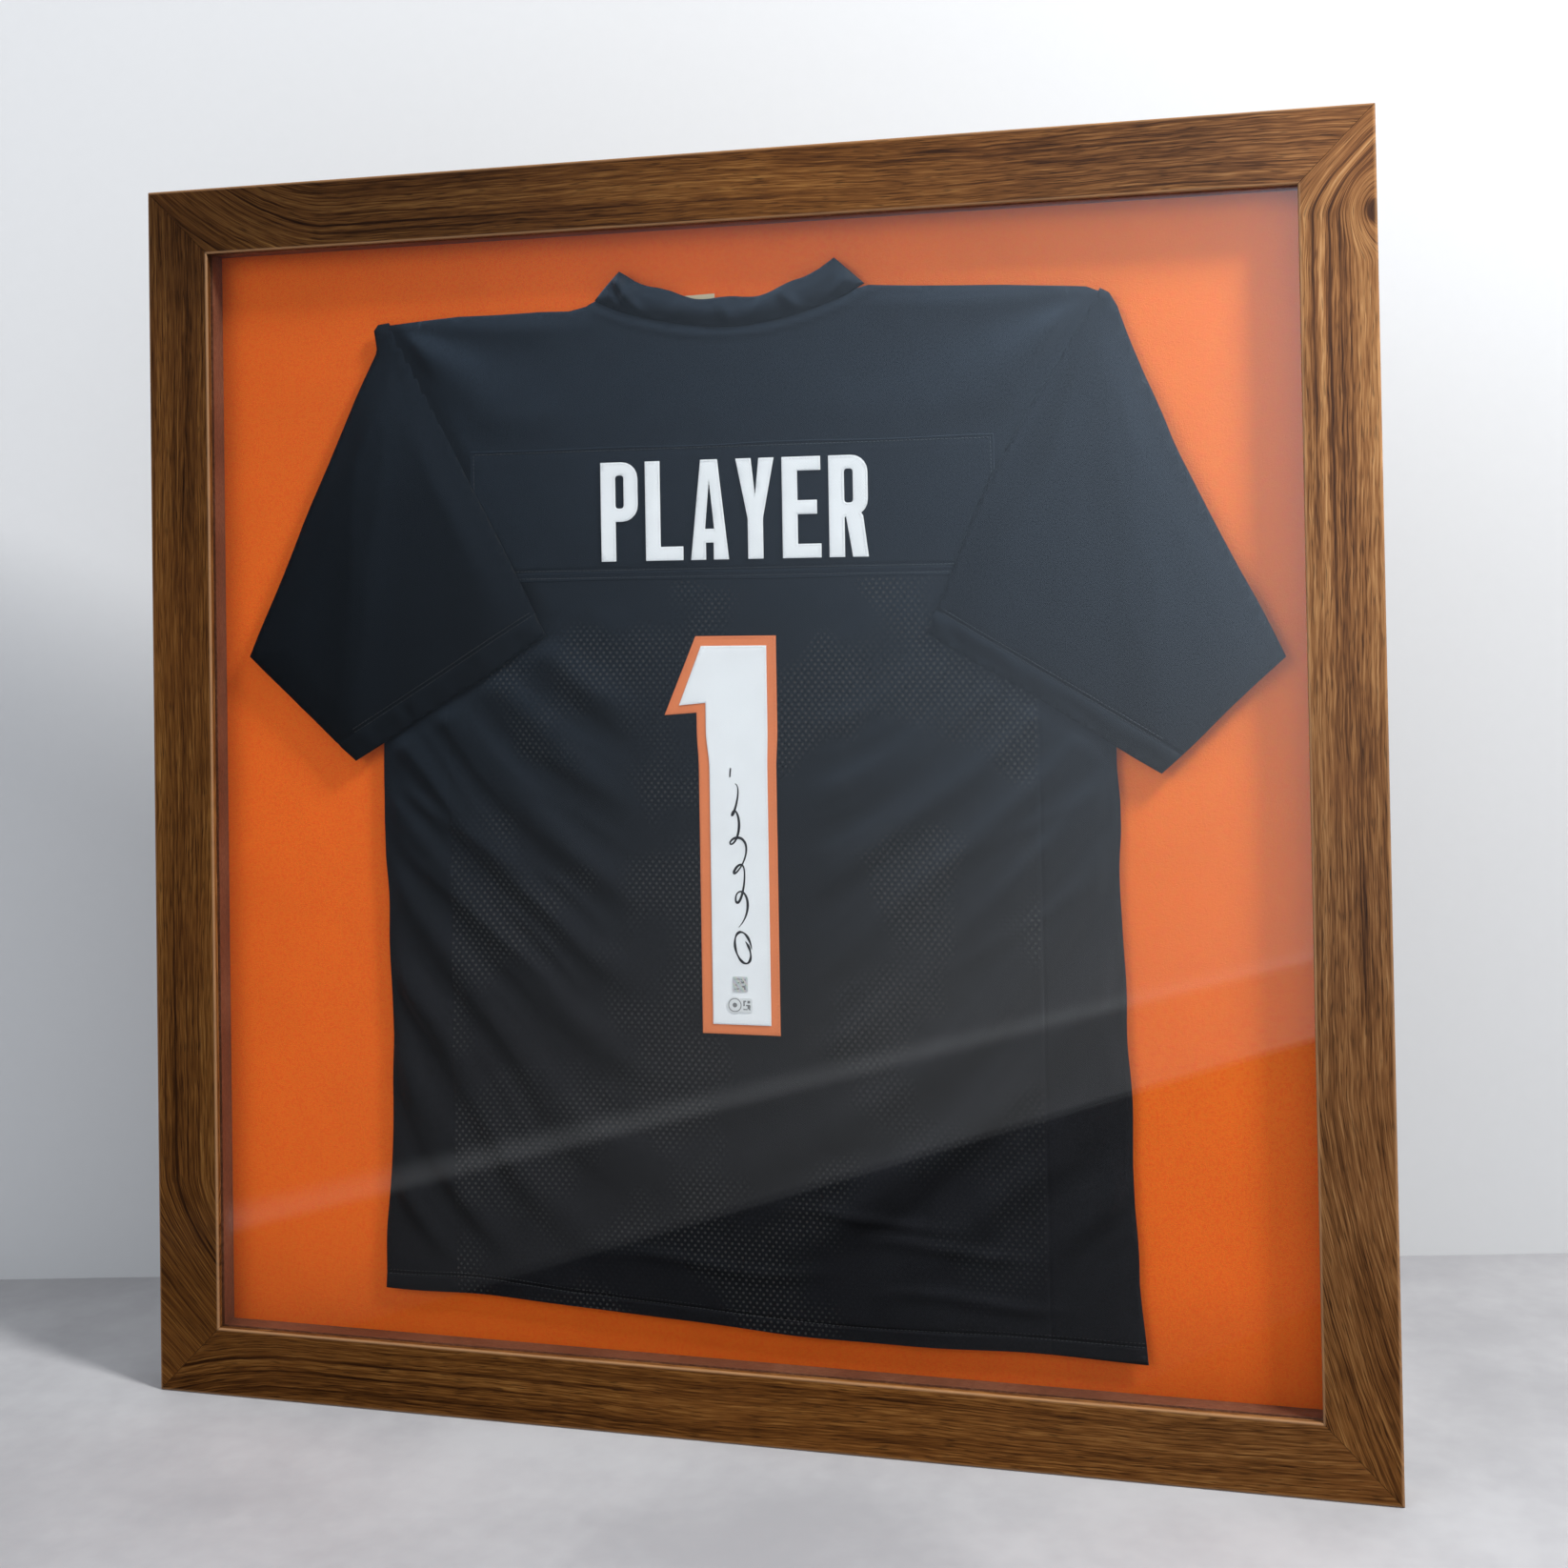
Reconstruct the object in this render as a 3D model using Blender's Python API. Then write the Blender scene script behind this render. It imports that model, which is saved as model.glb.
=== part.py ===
"""Wall-hung walnut shadow box holding a mounted sports jersey.

Metres, +Z up. The glazed front faces -Y and the origin is the middle of the footprint, at floor height.
The jersey shows its back, so its rear layer is the jersey's own front.
Left and right are as seen from the front.
"""

import math

import bmesh
import bpy
from mathutils import Matrix, Vector

# Frame
FRAME_WIDTH = 1.009
FRAME_HEIGHT = 1.016
RAIL_FACE = 0.056
RAIL_DEPTH = 0.038
LIP_DEPTH = 0.006
RABBET = 0.008
OUTER_ROUND = 0.0022
SIGHT_ROUND = 0.0012
BACK_ROUND = 0.0008
GAP = 0.0003
ROUND_STEPS = 5

# Layers behind the lip
GLAZING_THICK = 0.003
SPACER_DEPTH = 0.015
FABRIC_THICK = 0.0008
BOARD_THICK = 0.006
PANEL_THICK = 0.005
SHEET_CLEARANCE = 0.001

# Back hardware
BUMPER_THICK = 0.0057
BUMPER_RADIUS = 0.0065
BUMPER_INSET = 0.022
BUMPER_HEIGHT = 0.048
BUTTON_LENGTH = 0.029
BUTTON_TAPER = 0.86
BUTTON_WIDTH = 0.011
BUTTON_THICK = 0.0012
BUTTON_HOLE_RADIUS = 0.0020
BUTTON_PIVOT_INSET = 0.040
BUTTON_SPREAD_ACROSS = 0.300
BUTTON_SPREAD_UP = 0.330
SCREW_RADIUS = 0.0016
SCREW_HEAD_RADIUS = 0.0036
SCREW_HEAD_HEIGHT = 0.0020
SCREW_LENGTH = 0.0120
SLOT_WIDTH = 0.0010
SLOT_DEPTH = 0.0009
PILOT_RADIUS = 0.0020
PILOT_DEPTH = 0.0140
RING_WIRE = 0.00125
RING_HALF_WIDTH = 0.0125
RING_LENGTH = 0.0210
RING_CORNER = 0.0030
RING_HEIGHT = 0.762
STRAP_WIDTH = 0.013
STRAP_THICK = 0.0010
STRAP_LENGTH = 0.040
STRAP_CURL_DEG = 280
STRAP_SCREWS = (0.010, 0.031)
NAIL_ARM = 0.0100
NAIL_THICK = 0.0008
NAIL_DEPTH = 0.0100
NAIL_INSET = 0.026

# Jersey layers, as depths behind the face of the frame
SLEEVE_FRONT = 0.0136
SLEEVE_THICK = 0.0030
LETTER_FRONT = 0.0158
LETTER_THICK = 0.0008
FACING_FRONT = 0.0160
FACING_THICK = 0.0006
PATCH_FRONT = 0.0169
PATCH_THICK = 0.0006
COLLAR_FRONT = 0.0160
COLLAR_THICK = 0.0014
BACK_LAYER_FRONT = 0.0178
BACK_LAYER_THICK = 0.0012
FORM_FRONT = 0.0193
FORM_THICK = 0.0040
FRONT_LAYER_FRONT = 0.0236
FRONT_LAYER_THICK = 0.0010
REAR_LAYER_INSET = 0.002
FORM_INSET = 0.010
STICKER_THICK = 0.0003

# Jersey outline, as (x, z)
HEM_LEFT = (-0.3044, 0.0927)
HEM_MIDDLE = (0.0050, 0.0850)
HEM_RIGHT = (0.3229, 0.0807)
SIDE_LEFT = (
    (-0.3020, 0.1300),
    (-0.2985, 0.1850),
    (-0.2950, 0.2500),
    (-0.2940, 0.3000),
    (-0.2965, 0.3850),
    (-0.3000, 0.5390),
)
SIDE_RIGHT = (
    (0.3076, 0.5260),
    (0.3085, 0.4300),
    (0.3105, 0.3300),
    (0.3140, 0.2200),
    (0.3170, 0.1400),
)
SHOULDER_LEFT = (
    (-0.3010, 0.8930),
    (-0.2250, 0.8988),
    (-0.1570, 0.8992),
    (-0.1310, 0.8982),
    (-0.1150, 0.9012),
)
SHOULDER_RIGHT = (
    (0.1500, 0.9040),
    (0.2250, 0.9002),
    (0.2900, 0.8950),
    (0.3060, 0.8890),
)
NECK_LEFT = (-0.1050, 0.9058)
NECK_RIGHT = (0.1203, 0.9060)
NECK_DROP = 0.0120
LEFT_SLEEVE = (
    (-0.3000, 0.8948),
    (-0.3040, 0.8900),
    (-0.3015, 0.8735),
    (-0.4205, 0.6190),
    (-0.3740, 0.5747),
    (-0.3231, 0.5313),
    (-0.1517, 0.6340),
    (-0.2744, 0.8660),
    (-0.2900, 0.8960),
)
RIGHT_SLEEVE = (
    (0.3010, 0.8936),
    (0.2750, 0.8540),
    (0.2123, 0.7493),
    (0.1623, 0.6327),
    (0.3409, 0.5260),
    (0.4336, 0.6127),
    (0.3890, 0.7035),
    (0.3545, 0.7745),
    (0.3340, 0.8245),
    (0.3200, 0.8640),
    (0.3145, 0.8795),
    (0.3080, 0.8900),
)

# Collar band
COLLAR_TIP_LEFT = (-0.0850, 0.9273)
COLLAR_TIP_RIGHT = (0.0936, 0.9287)
COLLAR_TOP_DROP = 0.0265
COLLAR_SEAM_DROP = 0.0272
COLLAR_END_LEFT = (-0.1068, 0.9052)
COLLAR_END_RIGHT = (0.1180, 0.9073)
CURVE_STEPS = 14
SAG_SHAPE = 0.8
LABEL_WIDTH = 0.040
LABEL_HEIGHT = 0.018
LABEL_CENTRE = (-0.0260, 0.8975)
LABEL_THICK = 0.0006

# Name and number
NAMEPLATE_HALF_WIDTH = 0.218
NAMEPLATE_TOP = 0.7860
NAMEPLATE_BOTTOM = 0.6770
NAME_CENTRE = 0.0070
NAME_BASE = 0.6930
LETTER_HEIGHT = 0.0800
LETTER_WIDTH = 0.0315
LETTER_GAP = 0.0065
LETTER_STROKE = 0.0125
LETTER_NICK = 0.0012
NAME = "PLAYER"
DIGIT_BASE = 0.3160
DIGIT_HEIGHT = 0.3160
DIGIT_STEM_LEFT = -0.0257
DIGIT_STEM_RIGHT = 0.0409
DIGIT_FLAG_LEFT = -0.0525
DIGIT_FLAG_DROP = 0.0610
DIGIT_BORDER = 0.0078
DIGIT_FLAG_HOOK = 0.0020
DIGIT_BROW_SHIFT = 0.6
DIGIT_TIP_SHIFT = 1.6
STICKER_BASE = 0.3330
STICKER_RADIUS = 0.0065
STICKER_SIDE = 0.0120

HALF_WIDTH = FRAME_WIDTH / 2
TOTAL_DEPTH = RAIL_DEPTH + GAP + BUMPER_THICK
FACE_Y = -TOTAL_DEPTH / 2
RAIL_BACK_Y = FACE_Y + RAIL_DEPTH
BODY_FACE = RAIL_FACE - RABBET
SHEET_HALF_WIDTH = HALF_WIDTH - BODY_FACE - SHEET_CLEARANCE
SHEET_BOTTOM = BODY_FACE + SHEET_CLEARANCE
SHEET_TOP = FRAME_HEIGHT - BODY_FACE - SHEET_CLEARANCE
GLAZING_AT = LIP_DEPTH + GAP
SPACER_AT = GLAZING_AT + GLAZING_THICK + GAP
FABRIC_AT = SPACER_AT + SPACER_DEPTH + GAP
BOARD_AT = FABRIC_AT + FABRIC_THICK + GAP
PANEL_AT = BOARD_AT + BOARD_THICK + GAP
SPACER_THICK = RABBET - 2 * GAP
RING_AXIS_Y = RAIL_BACK_Y + GAP + STRAP_THICK + GAP + RING_WIRE
CURL_RADIUS = RING_WIRE + GAP + STRAP_THICK / 2

COLOURS = {
    "walnut": ((0.115, 0.058, 0.030), 0.45, 0.0),
    "spacer_walnut": ((0.130, 0.070, 0.038), 0.55, 0.0),
    "clear_glazing": ((0.900, 0.930, 0.920), 0.05, 0.0),
    "orange_suede": ((0.800, 0.135, 0.018), 0.90, 0.0),
    "mount_board": ((0.780, 0.760, 0.700), 0.85, 0.0),
    "hardboard": ((0.200, 0.110, 0.055), 0.75, 0.0),
    "charcoal_knit": ((0.026, 0.034, 0.045), 0.80, 0.0),
    "charcoal_mesh": ((0.022, 0.029, 0.038), 0.85, 0.0),
    "form_foam": ((0.740, 0.740, 0.720), 0.90, 0.0),
    "white_twill": ((0.700, 0.730, 0.780), 0.70, 0.0),
    "orange_twill": ((0.620, 0.130, 0.040), 0.75, 0.0),
    "cream_tape": ((0.700, 0.620, 0.480), 0.80, 0.0),
    "silver_sticker": ((0.550, 0.560, 0.580), 0.35, 0.0),
    "zinc_steel": ((0.560, 0.550, 0.520), 0.35, 1.0),
    "rubber": ((0.030, 0.030, 0.032), 0.80, 0.0),
}


def clear_scene():
    for obj in list(bpy.data.objects):
        bpy.data.objects.remove(obj, do_unlink=True)


def make_materials():
    made = {}
    for name, (colour, roughness, metallic) in COLOURS.items():
        mat = bpy.data.materials.new(name)
        mat.use_nodes = True
        shader = mat.node_tree.nodes["Principled BSDF"]
        shader.inputs["Base Color"].default_value = (*colour, 1.0)
        shader.inputs["Roughness"].default_value = roughness
        shader.inputs["Metallic"].default_value = metallic
        mat.diffuse_color = (*colour, 1.0)
        made[name] = mat
    return made


def add_mesh_object(name, mesh, material, location=(0, 0, 0)):
    if not mesh.materials:
        mesh.materials.append(material)
    obj = bpy.data.objects.new(name, mesh)
    obj.location = location
    bpy.context.scene.collection.objects.link(obj)
    return obj


def add_bmesh_object(name, shape, material, location=(0, 0, 0)):
    bmesh.ops.recalc_face_normals(shape, faces=shape.faces)
    mesh = bpy.data.meshes.new(name)
    shape.to_mesh(mesh)
    shape.free()
    return add_mesh_object(name, mesh, material, location)


def arc(centre, radius, start, end, steps):
    """Points of an arc from start to end, in degrees."""
    turns = [math.radians(start + (end - start) * i / steps) for i in range(steps + 1)]
    return [(centre[0] + radius * math.cos(t), centre[1] + radius * math.sin(t)) for t in turns]


def round_corner(before, corner, after, radius, steps=ROUND_STEPS):
    """Points that replace a corner by an arc of this radius."""
    here = Vector(corner)
    back = (Vector(before) - here).normalized()
    ahead = (Vector(after) - here).normalized()
    half = back.angle(ahead) / 2
    inset = radius / math.tan(half)
    centre = here + (back + ahead).normalized() * radius / math.sin(half)
    first = here + back * inset - centre
    last = here + ahead * inset - centre
    turn = first.angle_signed(last)
    return [tuple(centre + Matrix.Rotation(-turn * i / steps, 2) @ first) for i in range(steps + 1)]


def rounded(corners, radius):
    """A closed outline with every corner rounded."""
    found = []
    for i, corner in enumerate(corners):
        found += round_corner(corners[i - 1], corner, corners[(i + 1) % len(corners)], radius)
    return found


def extruded(outline, depth_from, depth_to):
    """A prism with this (x, z) outline, between two depths in Y."""
    shape = bmesh.new()
    near = [shape.verts.new((x, depth_from, z)) for x, z in outline]
    far = [shape.verts.new((x, depth_to, z)) for x, z in outline]
    shape.faces.new(near)
    shape.faces.new(far[::-1])
    for i in range(len(outline)):
        j = (i + 1) % len(outline)
        shape.faces.new((near[i], far[i], far[j], near[j]))
    return shape


def add_slab(name, outline, depth, thickness, material):
    """A flat piece whose front lies this deep behind the face of the frame."""
    shape = extruded(outline, FACE_Y + depth, FACE_Y + depth + thickness)
    return add_bmesh_object(name, shape, material)


def rectangle(left, right, bottom, top):
    return [(left, bottom), (right, bottom), (right, top), (left, top)]


def pierced_mesh(name, outline, holes, thickness):
    """A flat plate with holes, centred on its own mid-plane, in the XZ plane."""
    curve = bpy.data.curves.new(name, "CURVE")
    curve.dimensions = "2D"
    curve.fill_mode = "BOTH"
    curve.extrude = thickness / 2
    for loop in [outline, *holes]:
        spline = curve.splines.new("POLY")
        spline.points.add(len(loop) - 1)
        spline.use_cyclic_u = True
        for point, (x, z) in zip(spline.points, loop):
            point.co = (x, z, 0, 1)
    holder = bpy.data.objects.new(name, curve)
    shape = bmesh.new()
    shape.from_mesh(holder.to_mesh())
    bmesh.ops.remove_doubles(shape, verts=shape.verts, dist=1e-6)
    bmesh.ops.rotate(shape, verts=shape.verts, matrix=Matrix.Rotation(math.pi / 2, 3, "X"))
    bmesh.ops.recalc_face_normals(shape, faces=shape.faces)
    holder.to_mesh_clear()
    mesh = bpy.data.meshes.new(name)
    shape.to_mesh(mesh)
    shape.free()
    bpy.data.objects.remove(holder)
    bpy.data.curves.remove(curve)
    return mesh


def lathed(profile, segments):
    """A body turned about Y. The profile holds (radius, y) and its two ends lie on the axis."""
    shape = bmesh.new()
    rings = []
    for radius, y in profile[1:-1]:
        spots = arc((0, 0), radius, 0, 360, segments)[:-1]
        rings.append([shape.verts.new((x, y, z)) for x, z in spots])
    ends = [shape.verts.new((0, profile[0][1], 0)), shape.verts.new((0, profile[-1][1], 0))]
    for i in range(segments):
        j = (i + 1) % segments
        shape.faces.new((ends[0], rings[0][i], rings[0][j]))
        shape.faces.new((ends[1], rings[-1][j], rings[-1][i]))
        for one, two in zip(rings, rings[1:]):
            shape.faces.new((one[i], two[i], two[j], one[j]))
    return shape


def shade_round(mesh, limit_deg=35):
    for face in mesh.polygons:
        face.use_smooth = True
    mesh.set_sharp_from_angle(angle=math.radians(limit_deg))


def rail_profile():
    """The rail's section, as (distance in from the outer side, depth)."""
    corners = (
        ((0, 0), OUTER_ROUND),
        ((RAIL_FACE, 0), SIGHT_ROUND),
        ((RAIL_FACE, LIP_DEPTH), BACK_ROUND),
        ((BODY_FACE, LIP_DEPTH), 0),
        ((BODY_FACE, RAIL_DEPTH), BACK_ROUND),
        ((0, RAIL_DEPTH), BACK_ROUND),
    )
    section = []
    for i, (corner, radius) in enumerate(corners):
        before = corners[i - 1][0]
        after = corners[(i + 1) % len(corners)][0]
        section += round_corner(before, corner, after, radius) if radius else [corner]
    return section


def rail_shape(half_length):
    """A mitred rail lying along X, its outer side at z = 0 and its body above."""
    shape = bmesh.new()
    mitre_slack = GAP / math.sqrt(2)
    ends = []
    for side in (-1, 1):
        ends.append([
            shape.verts.new((side * (half_length - inset - mitre_slack), depth, inset))
            for inset, depth in rail_profile()
        ])
    shape.faces.new(ends[0])
    shape.faces.new(ends[1][::-1])
    for i in range(len(ends[0])):
        j = (i + 1) % len(ends[0])
        shape.faces.new((ends[0][i], ends[1][i], ends[1][j], ends[0][j]))
    return shape


def corner_positions():
    """Where each corner nail stands, with the directions that point into the frame."""
    for row, level in (("top", 1), ("bottom", -1)):
        z = FRAME_HEIGHT / 2 + level * (FRAME_HEIGHT / 2 - NAIL_INSET)
        for end, side in (("left", -1), ("right", 1)):
            yield f"{row}_{end}", side * (HALF_WIDTH - NAIL_INSET), z, -side, -level


def nail_outline(x, z, along_x, along_z, grow):
    """An L whose arms run into the two rails of a corner."""
    near = -grow
    far = NAIL_ARM + grow
    wide = NAIL_THICK + grow
    corners = ((near, near), (far, near), (far, wide), (wide, wide), (wide, far), (near, far))
    return [(x + along_x * a, z + along_z * b) for a, b in corners]


def button_positions():
    """Pivot, and the turn about Y that points the button at the back panel."""
    middle = FRAME_HEIGHT / 2
    edge = HALF_WIDTH - BUTTON_PIVOT_INSET
    for i, way in enumerate((-1, 1)):
        across = way * BUTTON_SPREAD_ACROSS
        up = middle + way * BUTTON_SPREAD_UP
        yield f"top_{i + 1}", (across, FRAME_HEIGHT - BUTTON_PIVOT_INSET), 90
        yield f"bottom_{i + 1}", (across, BUTTON_PIVOT_INSET), -90
        yield f"left_{i + 1}", (-edge, up), 0
        yield f"right_{i + 1}", (edge, up), 180


def ring_centres():
    return (("left", -HALF_WIDTH + BODY_FACE / 2), ("right", HALF_WIDTH - BODY_FACE / 2))


def add_cutter(name, shape):
    mesh = bpy.data.meshes.new(name)
    bmesh.ops.recalc_face_normals(shape, faces=shape.faces)
    shape.to_mesh(mesh)
    shape.free()
    obj = bpy.data.objects.new(name, mesh)
    obj.hide_render = True
    obj.display_type = "WIRE"
    bpy.context.scene.collection.objects.link(obj)
    return obj


def add_rail_cutter():
    """All pilot holes and nail slots, sunk into the backs of the rails."""
    shape = bmesh.new()
    holes = [spot for _, spot, _ in button_positions()]
    for _, x in ring_centres():
        holes += [(x, RING_HEIGHT - drop) for drop in STRAP_SCREWS]
    outlines = [(arc(hole, PILOT_RADIUS, 0, 360, 20)[:-1], PILOT_DEPTH) for hole in holes]
    for _, x, z, along_x, along_z in corner_positions():
        outlines.append((nail_outline(x, z, along_x, along_z, GAP), NAIL_DEPTH + GAP))
    for outline, depth in outlines:
        piece = bpy.data.meshes.new("cut")
        cut = extruded(outline, RAIL_BACK_Y - depth, RAIL_BACK_Y + LIP_DEPTH)
        bmesh.ops.recalc_face_normals(cut, faces=cut.faces)
        cut.to_mesh(piece)
        cut.free()
        shape.from_mesh(piece)
        bpy.data.meshes.remove(piece)
    return add_cutter("rail_back_cuts", shape)


def add_rails(materials):
    """Four mitred rails, each turned so that its body points into the frame."""
    cutter = add_rail_cutter()
    middle = FRAME_HEIGHT / 2
    places = (
        ("rail_bottom", HALF_WIDTH, (0, 0), 0),
        ("rail_top", HALF_WIDTH, (0, FRAME_HEIGHT), 180),
        ("rail_left", middle, (-HALF_WIDTH, middle), 90),
        ("rail_right", middle, (HALF_WIDTH, middle), -90),
    )
    for name, half_length, (x, z), turn in places:
        rail = add_bmesh_object(name, rail_shape(half_length), materials["walnut"], (x, FACE_Y, z))
        rail.rotation_euler = (0, math.radians(turn), 0)
        cut = rail.modifiers.new("back_cuts", "BOOLEAN")
        cut.operation = "DIFFERENCE"
        cut.solver = "EXACT"
        cut.object = cutter
        shade_round(rail.data)


def add_corner_nails(materials):
    for name, x, z, along_x, along_z in corner_positions():
        outline = nail_outline(x, z, along_x, along_z, 0)
        add_bmesh_object(
            f"corner_nail_{name}",
            extruded(outline, RAIL_BACK_Y - NAIL_DEPTH, RAIL_BACK_Y - GAP),
            materials["zinc_steel"],
        )


def add_sheets(materials):
    """Glazing, fabric, board and back panel: plain sheets in the rabbet."""
    outline = rectangle(-SHEET_HALF_WIDTH, SHEET_HALF_WIDTH, SHEET_BOTTOM, SHEET_TOP)
    layers = (
        ("glazing_sheet", GLAZING_AT, GLAZING_THICK, "clear_glazing"),
        ("mount_fabric", FABRIC_AT, FABRIC_THICK, "orange_suede"),
        ("mount_board", BOARD_AT, BOARD_THICK, "mount_board"),
        ("back_panel", PANEL_AT, PANEL_THICK, "hardboard"),
    )
    for name, depth, thickness, slot in layers:
        add_slab(name, outline, depth, thickness, materials[slot])


def add_spacers(materials):
    """Strips that hold the glazing away from the jersey. The side ones stand between the other two."""
    outer = SHEET_HALF_WIDTH
    inner = HALF_WIDTH - RAIL_FACE + GAP
    low = SHEET_BOTTOM
    low_inner = RAIL_FACE - GAP
    high = SHEET_TOP
    high_inner = FRAME_HEIGHT - RAIL_FACE + GAP
    outlines = {
        "spacer_bottom": rectangle(-outer, outer, low, low_inner),
        "spacer_top": rectangle(-outer, outer, high_inner, high),
        "spacer_left": rectangle(-outer, -inner, low_inner + GAP, high_inner - GAP),
        "spacer_right": rectangle(inner, outer, low_inner + GAP, high_inner - GAP),
    }
    for name, outline in outlines.items():
        add_slab(name, outline, SPACER_AT, SPACER_DEPTH, materials["spacer_walnut"])


def sagging(start, end, drop):
    """A curve from start to end that hangs this far below the line between them."""
    found = []
    for i in range(CURVE_STEPS + 1):
        t = i / CURVE_STEPS
        x = start[0] + (end[0] - start[0]) * t
        z = start[1] + (end[1] - start[1]) * t
        found.append((x, z - drop * math.sin(math.pi * t) ** SAG_SHAPE))
    return found


def torso_outline():
    """The jersey's body with its sleeves laid aside, round from the left of the hem."""
    neck = sagging(NECK_LEFT, NECK_RIGHT, NECK_DROP)
    left_side = [HEM_LEFT, *SIDE_LEFT, *SHOULDER_LEFT]
    right_side = [*SHOULDER_RIGHT, *SIDE_RIGHT, HEM_RIGHT]
    return left_side + neck + right_side + [HEM_MIDDLE]


def shrunk(outline, inset):
    """The outline drawn in towards its middle by about this much."""
    middle_x = sum(x for x, _ in outline) / len(outline)
    middle_z = (max(z for _, z in outline) + min(z for _, z in outline)) / 2
    half_x = max(abs(x - middle_x) for x, _ in outline)
    half_z = max(abs(z - middle_z) for _, z in outline)
    keep_x = 1 - inset / half_x
    keep_z = 1 - inset / half_z
    return [(middle_x + (x - middle_x) * keep_x, middle_z + (z - middle_z) * keep_z) for x, z in outline]


def add_torso(materials):
    """Two knit layers with a foam form between them, which keeps the jersey flat."""
    outline = torso_outline()
    add_slab("jersey_back_panel", outline, BACK_LAYER_FRONT, BACK_LAYER_THICK, materials["charcoal_mesh"])
    rear = shrunk(outline, REAR_LAYER_INSET)
    add_slab("jersey_front_panel", rear, FRONT_LAYER_FRONT, FRONT_LAYER_THICK, materials["charcoal_knit"])
    form = shrunk(outline, FORM_INSET)
    add_slab("jersey_form_board", form, FORM_FRONT, FORM_THICK, materials["form_foam"])


def add_sleeves(materials):
    for name, outline in (("jersey_sleeve_left", LEFT_SLEEVE), ("jersey_sleeve_right", RIGHT_SLEEVE)):
        add_slab(name, outline, SLEEVE_FRONT, SLEEVE_THICK, materials["charcoal_knit"])


def add_collar(materials):
    """The neck band, and the tape label that shows above it."""
    upper = sagging(COLLAR_TIP_LEFT, COLLAR_TIP_RIGHT, COLLAR_TOP_DROP)
    lower = sagging(COLLAR_END_LEFT, COLLAR_END_RIGHT, COLLAR_SEAM_DROP)
    add_slab("jersey_collar", lower + upper[::-1], COLLAR_FRONT, COLLAR_THICK, materials["charcoal_knit"])
    x, z = LABEL_CENTRE
    outline = rectangle(x - LABEL_WIDTH / 2, x + LABEL_WIDTH / 2, z - LABEL_HEIGHT / 2, z + LABEL_HEIGHT / 2)
    label_at = BACK_LAYER_FRONT + BACK_LAYER_THICK + GAP
    add_slab("neck_label", outline, label_at, LABEL_THICK, materials["cream_tape"])


def letter_bowl(base):
    """The right side of a P or R, from its lower corner up to the top."""
    radius = LETTER_WIDTH * 0.42
    low = arc((LETTER_WIDTH - radius, base + radius), radius, -90, 0, ROUND_STEPS)
    high = arc((LETTER_WIDTH - radius, LETTER_HEIGHT - radius), radius, 0, 90, ROUND_STEPS)
    return low + high + [(0, LETTER_HEIGHT)]


def letter_eye(base):
    """The hole in a P or R."""
    left = LETTER_STROKE
    right = LETTER_WIDTH - LETTER_STROKE * 0.95
    low = base + LETTER_STROKE * 0.85
    high = LETTER_HEIGHT - LETTER_STROKE * 0.85
    return rounded(rectangle(left, right, low, high), (right - left) * 0.35)


def letter_shapes():
    """Plain block capitals, each as (outline, holes) in its own cell."""
    wide = LETTER_WIDTH
    tall = LETTER_HEIGHT
    stroke = LETTER_STROKE
    half = wide / 2
    waist = tall * 0.40
    bar = stroke * 0.88
    middle = tall / 2
    tongue = wide * 0.90
    crotch = tall * 0.62
    foot = [(0, 0), (stroke, 0), (stroke, waist)]
    stem = [(0, 0), (stroke, 0), (stroke, waist - LETTER_NICK)]
    leg = [(stroke + LETTER_NICK, waist), (wide - stroke, 0), (wide, 0), (wide - stroke * 0.32, waist)]
    rung = tall * 0.17
    apex = stroke * 0.56
    slope = (half - apex - stroke) / tall
    eye_low = rung + bar
    foot_left = stroke + slope * rung + LETTER_NICK / 2
    eye_left = stroke + slope * eye_low + LETTER_NICK / 2
    return {
        "P": (foot + letter_bowl(waist), [letter_eye(waist)]),
        "R": (stem + leg + letter_bowl(waist)[2:], [letter_eye(waist)]),
        "L": ([(0, 0), (wide, 0), (wide, bar), (stroke, bar), (stroke, tall), (0, tall)], []),
        "E": (
            [(0, 0), (wide, 0), (wide, bar), (stroke, bar),
             (stroke, middle - bar / 2), (tongue, middle - bar / 2),
             (tongue, middle + bar / 2), (stroke, middle + bar / 2),
             (stroke, tall - bar), (wide, tall - bar), (wide, tall), (0, tall)],
            [],
        ),
        "A": (
            [(0, 0), (stroke, 0), (foot_left, rung), (wide - foot_left, rung), (wide - stroke, 0), (wide, 0),
             (half + apex, tall), (half - apex, tall)],
            [[(eye_left, eye_low), (wide - eye_left, eye_low), (half, tall * 0.80)]],
        ),
        "Y": (
            [(half - stroke / 2, 0), (half + stroke / 2, 0), (half + stroke / 2, waist), (wide, tall),
             (wide - stroke, tall), (half, crotch), (stroke, tall), (0, tall), (half - stroke / 2, waist)],
            [],
        ),
    }


def add_name(materials):
    """The nameplate, with a generic word in separate twill letters."""
    outline = rectangle(-NAMEPLATE_HALF_WIDTH, NAMEPLATE_HALF_WIDTH, NAMEPLATE_BOTTOM, NAMEPLATE_TOP)
    add_slab("jersey_nameplate", outline, PATCH_FRONT, PATCH_THICK, materials["charcoal_knit"])
    shapes = letter_shapes()
    pitch = LETTER_WIDTH + LETTER_GAP
    start = NAME_CENTRE - (len(NAME) * pitch - LETTER_GAP) / 2
    for i, letter in enumerate(NAME):
        mesh = pierced_mesh(f"letter_{letter}", *shapes[letter], LETTER_THICK)
        place = (start + i * pitch, FACE_Y + LETTER_FRONT + LETTER_THICK / 2, NAME_BASE)
        add_mesh_object(f"name_letter_{i + 1}", mesh, materials["white_twill"], place)


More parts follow.
